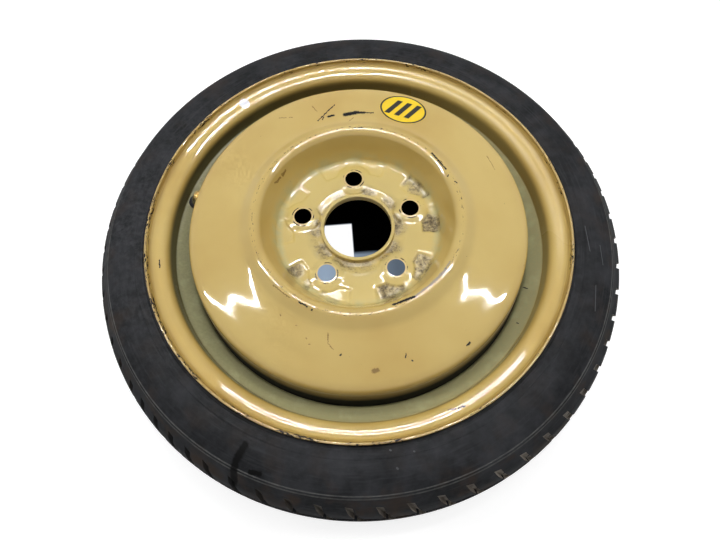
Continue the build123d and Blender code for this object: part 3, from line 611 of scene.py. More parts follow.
def rimEnamel(finish):
    material, tree = newMaterial("stoved enamel on rolled steel rim")
    point, flat, radius, angle, height = wheelPoint(tree)
    drift = addNode(tree, "ShaderNodeTexNoise", {"Vector": point, "Scale": 1 / 90, "Detail": 3.0})
    driftStep = addNode(tree, "ShaderNodeMapRange", {"Value": drift, "From Min": 0.35, "From Max": 0.7})
    coat = addNode(tree, "ShaderNodeMix", {"Factor": driftStep, "A": linear(finish["enamel"]),
                                           "B": linear(finish["enamelDeep"])}, data_type="RGBA")
    # brown up the curl, streaked along the ring: painted shade in the concave curl, and stain
    alongRing = addNode(tree, "ShaderNodeMath", {0: angle, 1: 200 / 22}, operation="MULTIPLY")
    acrossRing = addNode(tree, "ShaderNodeMath", {0: radius, 1: 1 / 2.2}, operation="MULTIPLY")
    ringPoint = addNode(tree, "ShaderNodeCombineXYZ", {"X": alongRing, "Y": acrossRing, "Z": height})
    streak = addNode(tree, "ShaderNodeTexNoise", {"Vector": ringPoint, "Scale": 1.0, "Detail": 3.0})
    streakStep = addNode(tree, "ShaderNodeMapRange", {"Value": streak, "From Min": 0.3, "From Max": 0.65})
    curl = addNode(tree, "ShaderNodeMapRange", {"Value": radius, "From Min": 200, "From Max": 204, "To Max": 0.6},
                   interpolation_type="SMOOTHSTEP")
    curlShadeAndStainMask = addNode(tree, "ShaderNodeMath", {0: curl, 1: streakStep}, operation="MULTIPLY")
    coat = addNode(tree, "ShaderNodeMix", {"Factor": curlShadeAndStainMask, "A": coat, "B": linear(finish["curlShadeAndStain"])},
                   data_type="RGBA")
    # dust settled in the well above the disc's joint, and painted shade under the bead seat, heavier on the left
    seenSide = addNode(tree, "ShaderNodeMapRange", {"Value": height, "From Min": 80, "From Max": 82})
    depth = addNode(tree, "ShaderNodeMapRange", {"Value": height, "From Min": 111, "From Max": 103},
                    interpolation_type="SMOOTHSTEP")
    depth = addNode(tree, "ShaderNodeMath", {0: depth, 1: seenSide}, operation="MULTIPLY")
    leftSide = addNode(tree, "ShaderNodeVectorMath", {0: flat, 1: (-0.95, 0.3, 0)}, operation="DOT_PRODUCT")
    leftStep = addNode(tree, "ShaderNodeMapRange", {"Value": leftSide.outputs["Value"], "From Min": -120,
                                                    "From Max": 160, "To Min": 0.35, "To Max": 0.9})
    depth = addNode(tree, "ShaderNodeMath", {0: depth, 1: leftStep}, operation="MULTIPLY")
    dark = addNode(tree, "ShaderNodeMix", {"Factor": depth, "A": coat, "B": linear(finish["wellPaintedShade"])},
                   data_type="RGBA")
    settled = addNode(tree, "ShaderNodeMapRange", {"Value": height, "From Min": 95, "From Max": 91.5},
                      interpolation_type="SMOOTHSTEP")
    speck = addNode(tree, "ShaderNodeTexNoise", {"Vector": point, "Scale": 1 / 2.5, "Detail": 4.0})
    dustA = addNode(tree, "ShaderNodeMapRange", {"Value": speck, "From Min": 0.3, "From Max": 0.7, "To Min": 0.7})
    dust = addNode(tree, "ShaderNodeMath", {0: settled, 1: dustA}, operation="MULTIPLY")
    dust = addNode(tree, "ShaderNodeMath", {0: dust, 1: seenSide}, operation="MULTIPLY")
    patchy = addNode(tree, "ShaderNodeTexNoise", {"Vector": point, "Scale": 1 / 16, "Detail": 4.0})
    patchStep = addNode(tree, "ShaderNodeMapRange", {"Value": patchy, "From Min": 0.5, "From Max": 0.66,
                                                     "To Max": 0.6})
    powder = addNode(tree, "ShaderNodeMix", {"Factor": patchStep, "A": linear(finish["wellDust"]),
                                             "B": linear(finish["wellPale"])}, data_type="RGBA")
    coat = addNode(tree, "ShaderNodeMix", {"Factor": dust, "A": dark, "B": powder}, data_type="RGBA")
    # edge of the lip: a thin pale line, part worn coat and part painted highlight along the edge, and ragged bare
    # chips that come in groups
    lip = addNode(tree, "ShaderNodeMapRange", {"Value": radius, "From Min": 204.9, "From Max": 205.6})
    top = addNode(tree, "ShaderNodeMapRange", {"Value": height, "From Min": 121.6, "From Max": 122.4})
    edge = addNode(tree, "ShaderNodeMath", {0: lip, 1: top}, operation="MULTIPLY")
    paleWearAndHighlight = addNode(tree, "ShaderNodeMath", {0: edge, 1: 0.25}, operation="MULTIPLY")
    coat = addNode(tree, "ShaderNodeMix", {"Factor": paleWearAndHighlight, "A": coat, "B": linear(finish["paleEdgeWearAndHighlight"])},
                   data_type="RGBA")
    alongLip = addNode(tree, "ShaderNodeMath", {0: angle, 1: 205 / 3.4}, operation="MULTIPLY")
    nickPoint = addNode(tree, "ShaderNodeCombineXYZ", {"X": alongLip, "Y": radius, "Z": height})
    nicks = addNode(tree, "ShaderNodeTexNoise", {"Vector": nickPoint, "Scale": 0.9, "Detail": 3.0})
    groups = addNode(tree, "ShaderNodeTexNoise", {"Vector": point, "Scale": 1 / 40, "Detail": 2.0})
    groupStep = addNode(tree, "ShaderNodeMapRange", {"Value": groups, "From Min": 0.42, "From Max": 0.62,
                                                     "To Max": 0.17})
    lowLeft = addNode(tree, "ShaderNodeVectorMath", {0: flat, 1: (-0.85, -0.5, 0)}, operation="DOT_PRODUCT")
    lowLeftStep = addNode(tree, "ShaderNodeMapRange", {"Value": lowLeft.outputs["Value"], "From Min": 40,
                                                       "From Max": 190, "To Max": 0.07})
    groupStep = addNode(tree, "ShaderNodeMath", {0: groupStep, 1: lowLeftStep}, operation="ADD")
    nickSum = addNode(tree, "ShaderNodeMath", {0: nicks, 1: groupStep}, operation="ADD")
    nickStep = addNode(tree, "ShaderNodeMapRange", {"Value": nickSum, "From Min": 0.69, "From Max": 0.74})
    curlTop = addNode(tree, "ShaderNodeMapRange", {"Value": radius, "From Min": 202.6, "From Max": 203.8})
    curlHigh = addNode(tree, "ShaderNodeMapRange", {"Value": height, "From Min": 118.5, "From Max": 120})
    nick = addNode(tree, "ShaderNodeMath", {0: nickStep, 1: curlTop}, operation="MULTIPLY")
    nick = addNode(tree, "ShaderNodeMath", {0: nick, 1: curlHigh}, operation="MULTIPLY")
    jitter = addNode(tree, "ShaderNodeTexNoise", {"Vector": point, "Scale": 1 / 1.8, "Detail": 2.0})
    shift = addNode(tree, "ShaderNodeVectorMath", {0: jitter.outputs["Color"], 1: (0.5, 0.5, 0.5)},
                    operation="SUBTRACT")
    shift = addNode(tree, "ShaderNodeVectorMath", {0: shift, 1: (2.0, 2.0, 0)}, operation="MULTIPLY")
    ragged = addNode(tree, "ShaderNodeVectorMath", {0: flat, 1: shift}, operation="ADD")
    chips = strokes(tree, ragged, finish["blackChips"])
    chips = addNode(tree, "ShaderNodeMath", {0: chips, 1: seenSide}, operation="MULTIPLY")
    chips = addNode(tree, "ShaderNodeMath", {0: chips, 1: nick}, operation="MAXIMUM")
    coat = addNode(tree, "ShaderNodeMix", {"Factor": chips, "A": coat, "B": linear(finish["chip"])},
                   data_type="RGBA")
    # dab of white marking paint
    dotFar = addNode(tree, "ShaderNodeVectorMath", {0: ragged, 1: (*finish["dotPlace"], 0)}, operation="DISTANCE")
    dot = addNode(tree, "ShaderNodeMapRange", {"Value": dotFar, "From Min": finish["dotRadius"],
                                               "From Max": finish["dotRadius"] - 1.2})
    dot = addNode(tree, "ShaderNodeMath", {0: dot, 1: seenSide}, operation="MULTIPLY")
    coat = addNode(tree, "ShaderNodeMix", {"Factor": dot, "A": coat, "B": linear(finish["whiteDot"])},
                   data_type="RGBA")
    worn = addNode(tree, "ShaderNodeMath", {0: chips, 1: dust}, operation="MAXIMUM")
    # the far right of the ring is rubbed dull, so the lamps only leave a soft sheen there
    dullSide = addNode(tree, "ShaderNodeVectorMath", {0: flat, 1: (0.85, 0.5, 0)}, operation="DOT_PRODUCT")
    dull = addNode(tree, "ShaderNodeMapRange", {"Value": dullSide.outputs["Value"], "From Min": 110,
                                                "From Max": 170})
    clean = addNode(tree, "ShaderNodeMapRange", {"Value": dull, "To Min": 0.05, "To Max": 0.4})
    gloss = addNode(tree, "ShaderNodeMapRange", {"Value": dull, "To Min": 0.5, "To Max": 0.2})
    rough = addNode(tree, "ShaderNodeMapRange", {"Value": worn, "To Min": clean, "To Max": 0.75})
    shine = addNode(tree, "ShaderNodeMapRange", {"Value": worn, "To Min": gloss, "To Max": 0.08})
    wave = addNode(tree, "ShaderNodeTexNoise", {"Vector": point, "Scale": 1 / 28, "Detail": 1.0})
    lift = addNode(tree, "ShaderNodeMath", {0: chips, 1: -0.12, 2: wave}, operation="MULTIPLY_ADD")
    bump = addNode(tree, "ShaderNodeBump", {"Height": lift, "Strength": 0.3, "Distance": 0.0004})
    shader = addNode(tree, "ShaderNodeBsdfPrincipled", {"Base Color": coat, "Roughness": rough, "IOR": 1.5,
                                                        "Specular IOR Level": shine, "Normal": bump})
    addNode(tree, "ShaderNodeOutputMaterial", {"Surface": shader})
    return material


# carbon-black tyre rubber, moulded and weathered: dull dark grey, cloudy with dust, brown towards the tread
tyreFinish = {
    "rubber": "#1B1C1E", "dust": "#3C3D40", "brown": "#382F29", "smear": "#030303", "chalk": "#505154",
    "notchDust": "#A0978B", "ribDustAndHighlight": "#5E5E5C", "ribs": (245.3, 247.5),
    "smears": [
        (-108.0, -198.3, -112.0, -204.0, 4.2), (-112.0, -204.0, -116.1, -210.0, 4.6),
        (-116.1, -210.0, -119.0, -217.0, 4.4), (-119.0, -217.0, -121.7, -226.0, 4.6),
        (-104.9, -219.2, -96.5, -221.4, 2.4),
    ],
    "chalkStrokes": [
        (218.3, -23.2, 216.5, -50.0, 0.45), (228.0, -44.0, 225.9, -64.1, 0.45), (213.5, -84.0, 207.0, -108.0, 0.45),
    ],
    "specks": [(10.8, -211.4, 11.4, -211.8, 1.0), (15.0, -225.6, 15.6, -226.2, 1.1),
               (30.0, -214.0, 30.6, -214.2, 0.9)],
}


def tyreRubber(finish, notch):
    material, tree = newMaterial("dusty rubber in the tread notches" if notch else "weathered moulded tyre rubber")
    point, flat, radius, angle, height = wheelPoint(tree)
    clouds = addNode(tree, "ShaderNodeTexNoise", {"Vector": point, "Scale": 1 / 34, "Detail": 6.0, "Roughness": 0.62})
    cloudStep = addNode(tree, "ShaderNodeMapRange", {"Value": clouds, "From Min": 0.42, "From Max": 0.72,
                                                     "To Min": 0.6 if notch else 0.0,
                                                     "To Max": 0.9 if notch else 0.8})
    if notch:  # the slot floors are dusty; paler on the right and darker on the left as painted light and shade
        side = addNode(tree, "ShaderNodeVectorMath", {0: flat, 1: (0.86, -0.5, 0)}, operation="DOT_PRODUCT")
        dustAndLitSide = addNode(tree, "ShaderNodeMapRange", {"Value": side.outputs["Value"], "From Min": 20,
                                                        "From Max": 190, "To Min": 0.05})
        cloudStep = addNode(tree, "ShaderNodeMath", {0: cloudStep, 1: dustAndLitSide}, operation="MULTIPLY")
    coat = addNode(tree, "ShaderNodeMix", {"Factor": cloudStep, "A": linear(finish["rubber"]),
                                           "B": linear(finish["notchDust" if notch else "dust"])}, data_type="RGBA")
    # mottled bloom a few millimetres across, thicker on the left where the wheel stood
    bloom = addNode(tree, "ShaderNodeTexNoise", {"Vector": point, "Scale": 1 / 6, "Detail": 6.0, "Roughness": 0.7})
    bloomStep = addNode(tree, "ShaderNodeMapRange", {"Value": bloom, "From Min": 0.42, "From Max": 0.7})
    stood = addNode(tree, "ShaderNodeVectorMath", {0: flat, 1: (-250, 20, 0)}, operation="DISTANCE")
    stoodStep = addNode(tree, "ShaderNodeMapRange", {"Value": stood, "From Min": 190, "From Max": 40, "To Min": 0.25,
                                                     "To Max": 0.95})
    bloomShare = addNode(tree, "ShaderNodeMath", {0: bloomStep, 1: stoodStep}, operation="MULTIPLY")
    coat = addNode(tree, "ShaderNodeMix", {"Factor": bloomShare, "A": coat, "B": linear(finish["dust"])},
                   data_type="RGBA")
    # scuffs run round the tyre in streaks a few millimetres wide
    alongRing = addNode(tree, "ShaderNodeMath", {0: angle, 1: 235 / 26}, operation="MULTIPLY")
    acrossRing = addNode(tree, "ShaderNodeMath", {0: radius, 1: 1 / 2.6}, operation="MULTIPLY")
    ringPoint = addNode(tree, "ShaderNodeCombineXYZ", {"X": alongRing, "Y": acrossRing, "Z": height})
    streak = addNode(tree, "ShaderNodeTexNoise", {"Vector": ringPoint, "Scale": 1.0, "Detail": 4.0})
    streakStep = addNode(tree, "ShaderNodeMapRange", {"Value": streak, "From Min": 0.52, "From Max": 0.78,
                                                      "To Max": 0.5})
    coat = addNode(tree, "ShaderNodeMix", {"Factor": streakStep, "A": coat, "B": linear(finish["dust"])},
                   data_type="RGBA")
    browns = addNode(tree, "ShaderNodeTexNoise", {"Vector": point, "Scale": 1 / 22, "Detail": 5.0, "Lacunarity": 2.2})
    brownStep = addNode(tree, "ShaderNodeMapRange", {"Value": browns, "From Min": 0.5, "From Max": 0.68,
                                                     "To Max": 0.8})
    outer = addNode(tree, "ShaderNodeMapRange", {"Value": radius, "From Min": 226, "From Max": 252, "To Min": 0.25})
    brown = addNode(tree, "ShaderNodeMath", {0: brownStep, 1: outer}, operation="MULTIPLY")
    coat = addNode(tree, "ShaderNodeMix", {"Factor": brown, "A": coat, "B": linear(finish["brown"])},
                   data_type="RGBA")
    jitter = addNode(tree, "ShaderNodeTexNoise", {"Vector": point, "Scale": 1 / 3, "Detail": 3.0})
    shift = addNode(tree, "ShaderNodeVectorMath", {0: jitter.outputs["Color"], 1: (0.5, 0.5, 0.5)},
                    operation="SUBTRACT")
    shift = addNode(tree, "ShaderNodeVectorMath", {0: shift, 1: (3, 3, 0)}, operation="MULTIPLY")
    ragged = addNode(tree, "ShaderNodeVectorMath", {0: flat, 1: shift}, operation="ADD")
    seenSide = addNode(tree, "ShaderNodeMapRange", {"Value": height, "From Min": 80, "From Max": 84})
    # the two fine mould ribs painted lighter grey: rubbed dust and painted highlight
    for rib in finish["ribs"]:
        off = addNode(tree, "ShaderNodeMath", {0: radius, 1: rib}, operation="SUBTRACT")
        off = addNode(tree, "ShaderNodeMath", {0: off}, operation="ABSOLUTE")
        line = addNode(tree, "ShaderNodeMapRange", {"Value": off, "From Min": 0.75, "From Max": 0.3})
        line = addNode(tree, "ShaderNodeMath", {0: line, 1: seenSide}, operation="MULTIPLY")
        rubbed = addNode(tree, "ShaderNodeMath", {0: bloomStep, 1: 0.45, 2: 0.4}, operation="MULTIPLY_ADD")
        line = addNode(tree, "ShaderNodeMath", {0: line, 1: rubbed}, operation="MULTIPLY")
        coat = addNode(tree, "ShaderNodeMix", {"Factor": line, "A": coat, "B": linear(finish["ribDustAndHighlight"])},
                       data_type="RGBA")
    for marks, colour, place in (("smears", "smear", ragged), ("chalkStrokes", "chalk", flat),
                                 ("specks", "chalk", flat)):
        mask = strokes(tree, place, finish[marks])
        mask = addNode(tree, "ShaderNodeMath", {0: mask, 1: seenSide}, operation="MULTIPLY")
        coat = addNode(tree, "ShaderNodeMix", {"Factor": mask, "A": coat, "B": linear(finish[colour])},
                       data_type="RGBA")
    rough = addNode(tree, "ShaderNodeMapRange", {"Value": clouds, "From Min": 0.3, "From Max": 0.7, "To Min": 0.52,
                                                 "To Max": 0.8})
    grain = addNode(tree, "ShaderNodeTexNoise", {"Vector": point, "Scale": 1 / 1.2, "Detail": 4.0})
    bump = addNode(tree, "ShaderNodeBump", {"Height": grain, "Strength": 0.25, "Distance": 0.0003})
    shader = addNode(tree, "ShaderNodeBsdfPrincipled", {"Base Color": coat, "Roughness": rough, "IOR": 1.52,
                                                        "Specular IOR Level": 0.05, "Normal": bump})
    addNode(tree, "ShaderNodeOutputMaterial", {"Surface": shader})
    return material


discPaint = discEnamel(discFinish, hubSizes)
rimPaint = rimEnamel(rimFinish)
sidewallRubber = tyreRubber(tyreFinish, False)
notchRubber = tyreRubber(tyreFinish, True)
print("paint and rubber mixed")


# tyre: section swept round by nodes, slots between the shoulder blocks cut by a ring of keys on each side
tyreSizes = {
    "crownDrop": 7.7, "treadHalf": 35.0, "grooveWidth": 6.0, "grooveDepth": 4.0,
    "ribDrop": 19.5, "ribHeight": 50.1, "swell": -0.4, "bulge": (37.52, 57.2), "foot": (63.54, 53.8),
    "ribs": ((247.5, 0.5, 0.6), (245.3, 0.45, 0.6), (217.6, 0.3, 0.6), (210.2, 0.5, 0.8)),  # radius, height, width
}


def arcThrough(a, b, c, shares):
    (ax, ay), (bx, by), (cx, cy) = a, b, c
    d = 2 * (ax * (by - cy) + bx * (cy - ay) + cx * (ay - by))
    ux = ((ax * ax + ay * ay) * (by - cy) + (bx * bx + by * by) * (cy - ay) + (cx * cx + cy * cy) * (ay - by)) / d
    uy = ((ax * ax + ay * ay) * (cx - bx) + (bx * bx + by * by) * (ax - cx) + (cx * cx + cy * cy) * (bx - ax)) / d
    start = math.atan2(ay - uy, ax - ux)
    turn = (math.atan2(cy - uy, cx - ux) - start + math.pi) % (2 * math.pi) - math.pi
    size = math.hypot(ax - ux, ay - uy)
    return [(ux + size * math.cos(start + turn * s), uy + size * math.sin(start + turn * s)) for s in shares]


def tyreSection(sizes):
    crown = tyreReach
    edge = (crown - sizes["crownDrop"], sizes["treadHalf"])
    rib = (crown - sizes["ribDrop"], sizes["ribHeight"])
    bulge = (crown - sizes["bulge"][0], sizes["bulge"][1])
    foot = (crown - sizes["foot"][0], sizes["foot"][1])
    halfGroove = sizes["grooveWidth"] / 2
    sag = sizes["crownDrop"] / sizes["treadHalf"] ** 2
    half = []
    for low, high, sunk in ((0, halfGroove - 0.5, 1), (halfGroove, 19 - halfGroove, 0),
                            (19.5 - halfGroove, 18.5 + halfGroove, 1), (19 + halfGroove, sizes["treadHalf"], 0)):
        for h in np.linspace(low, high, 3):
            half.append((crown - sag * h * h - sunk * sizes["grooveDepth"], h))
    across = np.array([rib[0] - edge[0], rib[1] - edge[1]])
    out = np.array([across[1], -across[0]]) / np.linalg.norm(across)
    swell = (np.array(edge) + np.array(rib)) / 2 + out * sizes["swell"]
    half += arcThrough(edge, tuple(swell), rib, np.linspace(0, 1, 12)[1:-1])
    shares = np.concatenate([np.linspace(0, 0.14, 18), np.linspace(0.17, 0.6, 16), np.linspace(0.62, 0.96, 34)])
    side = np.array(arcThrough(rib, bulge, foot, shares))
    normals = np.gradient(side, axis=0)
    normals = np.stack([normals[:, 1], -normals[:, 0]], 1) / np.linalg.norm(normals, axis=1)[:, None]
    if normals[len(normals) // 2, 1] < 0:
        normals = -normals
    for place, rise, width in sizes["ribs"]:
        side += normals * (rise * np.exp(-((side[:, 0] - place) / width * 1.6) ** 2))[:, None]
    half += [tuple(p) for p in side]
    # bead on the rim's flange and seat, then the liner back to the crown
    curlX, curlY = rimReach - 10, rimTop - middle - 0.7
    half += [(curlX + 10.2 * math.cos(a), curlY + 10.2 * math.sin(a)) for a in np.radians([-47, -62, -78, -90])]
    half += [(193.4, 50.4), (190.9, 47.6), (190.0, 44.0), (189.3, 37.2), (196.0, 38.5), (203.0, 45.0), (216, 50.2),
             (229.0, 50.7), (240.0, 47.0), (247.5, 39.5), (252.5, 28.0), (255.8, 14.0)]
    inner = [(257.0, 0.0)]
    outer = half[1:]
    loop = [half[0]] + outer + inner + [(r, -h) for r, h in outer[::-1]]
    return np.array(loop)


# slots from near the crown out through the shoulder, leaning round the tyre, wider and closer pitches in turn
notchSizes = {"Divisions": 360, "Sweep radius": 0.2, "Notch count": 66, "Notch width": 5.6 * mm,
              "Notch length": 41.0 * mm, "Notch lean": math.radians(22), "First notch": math.radians(19.5)}
notchRun = {"crownDepth": 2.6, "edgeDepth": 3.2, "from": 5.0}
notchPitch = [(0, 0), (3, 14.2), (8, 44.8), (11, 62.4), (16, 91.9), (25, 144.0), (30, 166.8), (33, 183.0),
              (41, 228.4), (66, 360)]  # notch number, degrees from the first


def tyreTree(sizes):
    tree, given = nodeTree("sweptTyreWithNotches", sizes)
    section = addNode(tree, "GeometryNodeMeshToCurve", {"Mesh": given["Geometry"]})
    ring = addNode(tree, "GeometryNodeCurvePrimitiveCircle", {"Resolution": given["Divisions"],
                                                              "Radius": given["Sweep radius"]})
    swept = addNode(tree, "GeometryNodeCurveToMesh", {"Curve": ring, "Profile Curve": section})
    lifted = addNode(tree, "GeometryNodeTransform", {"Geometry": swept, "Translation": (0, 0, middle * mm)})
    painted = addNode(tree, "GeometryNodeSetMaterial", {"Geometry": lifted, "Material": sidewallRubber})
    # one key: its floor runs from the crown out through the shoulder, leaning about the tread's edge
    thick = 14.0
    keySize = addNode(tree, "ShaderNodeCombineXYZ", {"X": thick * mm, "Y": given["Notch width"],
                                                     "Z": given["Notch length"]})
    key = addNode(tree, "GeometryNodeMeshCube", {"Size": keySize})
    sag = tyreSizes["crownDrop"] / tyreSizes["treadHalf"] ** 2
    edge = Vector((tyreReach - tyreSizes["crownDrop"], tyreSizes["treadHalf"]))
    inner = Vector((tyreReach - sag * notchRun["from"] ** 2 - notchRun["crownDepth"], notchRun["from"]))
    run = (edge - Vector((notchRun["edgeDepth"], 0)) - inner).normalized()
    centre = inner + run * notchSizes["Notch length"] / mm / 2 + Vector((run.y, -run.x)) * thick / 2 - edge
    laid = addNode(tree, "GeometryNodeTransform", {"Geometry": key, "Rotation": (0, math.atan2(run.x, run.y), 0),
                                                   "Translation": (centre.x * mm, 0, centre.y * mm)})
    lean = addNode(tree, "ShaderNodeCombineXYZ", {"X": given["Notch lean"]})
    leaned = addNode(tree, "GeometryNodeTransform", {"Geometry": laid, "Rotation": lean,
                                                     "Translation": (edge.x * mm, 0, edge.y * mm)})
    spots = addNode(tree, "GeometryNodePoints", {"Count": given["Notch count"]})
    index = addNode(tree, "GeometryNodeInputIndex")
    share = addNode(tree, "ShaderNodeMath", {0: index, 1: given["Notch count"]}, operation="DIVIDE")
    pitch = addNode(tree, "ShaderNodeFloatCurve", {"Value": share})
    curve = pitch.mapping.curves[0]
    for number, degrees in notchPitch[1:-1]:
        curve.points.new(number / notchPitch[-1][0], degrees / 360)
    for point in curve.points:
        point.handle_type = "VECTOR"
    pitch.mapping.update()
    turn = addNode(tree, "ShaderNodeMath", {0: pitch, 1: -math.tau, 2: given["First notch"]},
                   operation="MULTIPLY_ADD")
    spin = addNode(tree, "ShaderNodeCombineXYZ", {"Z": turn})
    upper = addNode(tree, "GeometryNodeInstanceOnPoints", {"Points": spots, "Instance": leaned, "Rotation": spin})
    halfTurn = addNode(tree, "GeometryNodeTransform", {"Geometry": upper, "Rotation": (math.pi, 0, 0)})
    both = addNode(tree, "GeometryNodeJoinGeometry")
    tree.links.new(halfTurn.outputs[0], both.inputs[0])
    tree.links.new(upper.outputs[0], both.inputs[0])
    cutters = addNode(tree, "GeometryNodeRealizeInstances", {"Geometry": both})
    raised = addNode(tree, "GeometryNodeTransform", {"Geometry": cutters, "Translation": (0, 0, middle * mm)})
    dusty = addNode(tree, "GeometryNodeSetMaterial", {"Geometry": raised, "Material": notchRubber})
    cut = addNode(tree, "GeometryNodeMeshBoolean", {0: painted, 1: dusty}, operation="DIFFERENCE", solver="EXACT")
    whole = addNode(tree, "GeometryNodeRealizeInstances", {"Geometry": cut})
    addNode(tree, "NodeGroupOutput", {"Geometry": whole})
    return tree


def makeTyre():
    loop = tyreSection(tyreSizes)
    sweep = notchSizes["Sweep radius"] / mm
    flatLoop = np.stack([loop[:, 0] - sweep, -loop[:, 1], np.zeros(len(loop))], 1)
    count = len(loop)
    tyre = makePiece("tyreMoulding", flatLoop, [], [(i, (i + 1) % count) for i in range(count)])
    growPiece(tyre, tyreTree(notchSizes), notchSizes)
    smoothPiece(tyre, 32)
    finishPiece(tyre, "tyre_rubber", "tyre")


makeTyre()


# rim: one rolled steel section spun round, with the valve's hole
rimSizes = {"sheet": 2.5, "wall": 10.7, "curl": 10.0, "seatIn": 16.56, "seatFillet": 6.4, "seatEndIn": 18.371,
            "seatEnd": 31.4, "hump": 4.0, "wellIn": 33.86, "well": 39.636, "edge": 1.2, "turns": 400,
            "valveFoot": (-169.57, 54.77, 89.07), "valveHole": 5.75}


def makeRim(s):
    upper = [(rimReach, rimTop, s["edge"]), (rimReach, rimTop - s["wall"], s["curl"]),
             (rimReach - s["seatIn"], rimTop - s["wall"], s["seatFillet"]),
             (rimReach - s["seatEndIn"], rimTop - s["seatEnd"], s["hump"]),
             (rimReach - s["wellIn"], rimTop - s["well"], s["hump"])]
    path = upper + [(r, 2 * middle - z, f) for r, z, f in upper[::-1]]
    loop = roundedLoop(path + sheetBack(path, s["sheet"])[::-1], 9, lambda place: 6.0)
    rim = makePiece("rolledRim", *spinLoop(loop, s["turns"]))
    rim.data.materials.append(rimPaint)
    punch = makePiece("valvePunch", *spinLoop(np.array([(0.01, -20), (s["valveHole"], -20), (s["valveHole"], 20),
                                                        (0.01, 20)]), 48))
    punch.matrix_world = Matrix.Translation(Vector(s["valveFoot"]) * mm) @ valveUp.to_track_quat(
        "Z", "Y").to_matrix().to_4x4()
    cut = rim.modifiers.new("valveHole", "BOOLEAN")
    cut.object = punch
    cut.operation = "DIFFERENCE"
    cut.solver = "EXACT"
    keepGrown(rim)
    bpy.data.objects.remove(punch)
    smoothPiece(rim, 40)
    finishPiece(rim, "wheel_paint", "wheel_rim")


makeRim(rimSizes)


# disc: pressed sheet with bosses and pockets lifted in the hub floor, nut seats cut by nodes, a bite for the valve
discSizes = {
    "sheet": 3.2, "turns": 300, "floor": 104.7, "pad": 106.2, "hubFace": 101.5,
    # radius, height and fillet of the seen face, from the bore's lip out to the skirt
    "face": [(36.75, 111.5, 0.8), (36.75, 104.7, 1.0), (41.75, 104.7, 8.0), (48.25, 106.2, 8.0), (81.0, 106.2, 6.0),
             (95.8, 141.7, 8.0), (112.4, 131.08, 16.0), (119.0, 129.53, 56.0), (132.6, 128.24, 200.0),
             (142.6, 126.74, 160.0), (153.6, 125.64, 60.0), (159.3, 124.39, 14.0), (164.2, 121.45, 7.0),
             (170.25, 83.364, 60.0), (170.25, 53.364, 0.6)],
    "notchCentre": 199.0, "notchAngle": 164.2, "notchRadius": 36.0,
    "seatWall": 3.0, "seatFoot": 101.9,
}


def easeStep(value, low, high):
    share = np.clip((value - low) / (high - low), 0, 1)
    return share * share * (3 - 2 * share)


def softMax(a, b, blend):
    return (a + b + np.sqrt((a - b) ** 2 + blend ** 2)) / 2


def pressHub(points, s, hub):
    x, y, z = points.T
    radius = np.hypot(x, y)
    step = 2 * math.pi / hub["boltCount"]
    turn = np.arctan2(y, x) - math.radians(hub["boltStart"])
    fold = np.abs((turn + step / 2) % step - step / 2)
    bolt = np.hypot(radius * np.cos(fold) - hub["boltCircle"], radius * np.sin(fold))
    border = softMax(hub["pocketIn"] - radius, (math.radians(hub["pocketFrom"]) - fold) * radius, 1.2)
    border = softMax(border, (fold - math.radians(hub["pocketTo"])) * radius, 1.2)
    border = softMax(border, hub["bossFoot"] + 0.3 - bolt, 1.2)
    upWall = easeStep(z, s["pad"], s["pad"] + 7)  # the pockets run out into the foot of the wall
    sunk = hub["pocketDepth"] * (1 - easeStep(border, -1.9, 0.9)) * (1 - upWall)
    crown = s["pad"] + hub["bossRise"]
    boss = crown - hub["bossRise"] * easeStep(bolt, hub["bossTop"], hub["bossFoot"]) - np.maximum(
        0, bolt - hub["bossFoot"] + 0.4) * 1.2
    boss += hub["collarRise"] * (1 - easeStep(bolt, hub["collar"], hub["collar"] + 0.8))
    inFloor = (radius > 37.5) & (radius < 84.5) & (z < s["pad"] + 7)
    seen = inFloor & ((z > s["hubFace"] + 2.2) & (radius < 80) | (z - s["pad"] > (radius - 80) * 2))
    back = inFloor & ~seen & (radius < 82)
    face = np.interp(radius, (s["face"][2][0], s["face"][3][0]), (s["floor"], s["pad"]))
    z[seen] = softMax(z - sunk, boss, 0.35)[seen]
    lifted = softMax(face - sunk, boss, 0.35) - face
    funnel = s["seatFoot"] + np.maximum(0, bolt - hub["holeRadius"] - s["seatWall"] + 0.5) * 1.6
    z[back] = np.maximum(np.minimum(z + lifted, funnel), s["hubFace"])[back]


seatSizes = {"Bolt count": 5, "Bolt circle": 57.15 * mm, "First bolt": math.radians(90), "Hole radius": 7.75 * mm,
             "Seat radius": 8.8 * mm, "Seat top": 108.05 * mm}


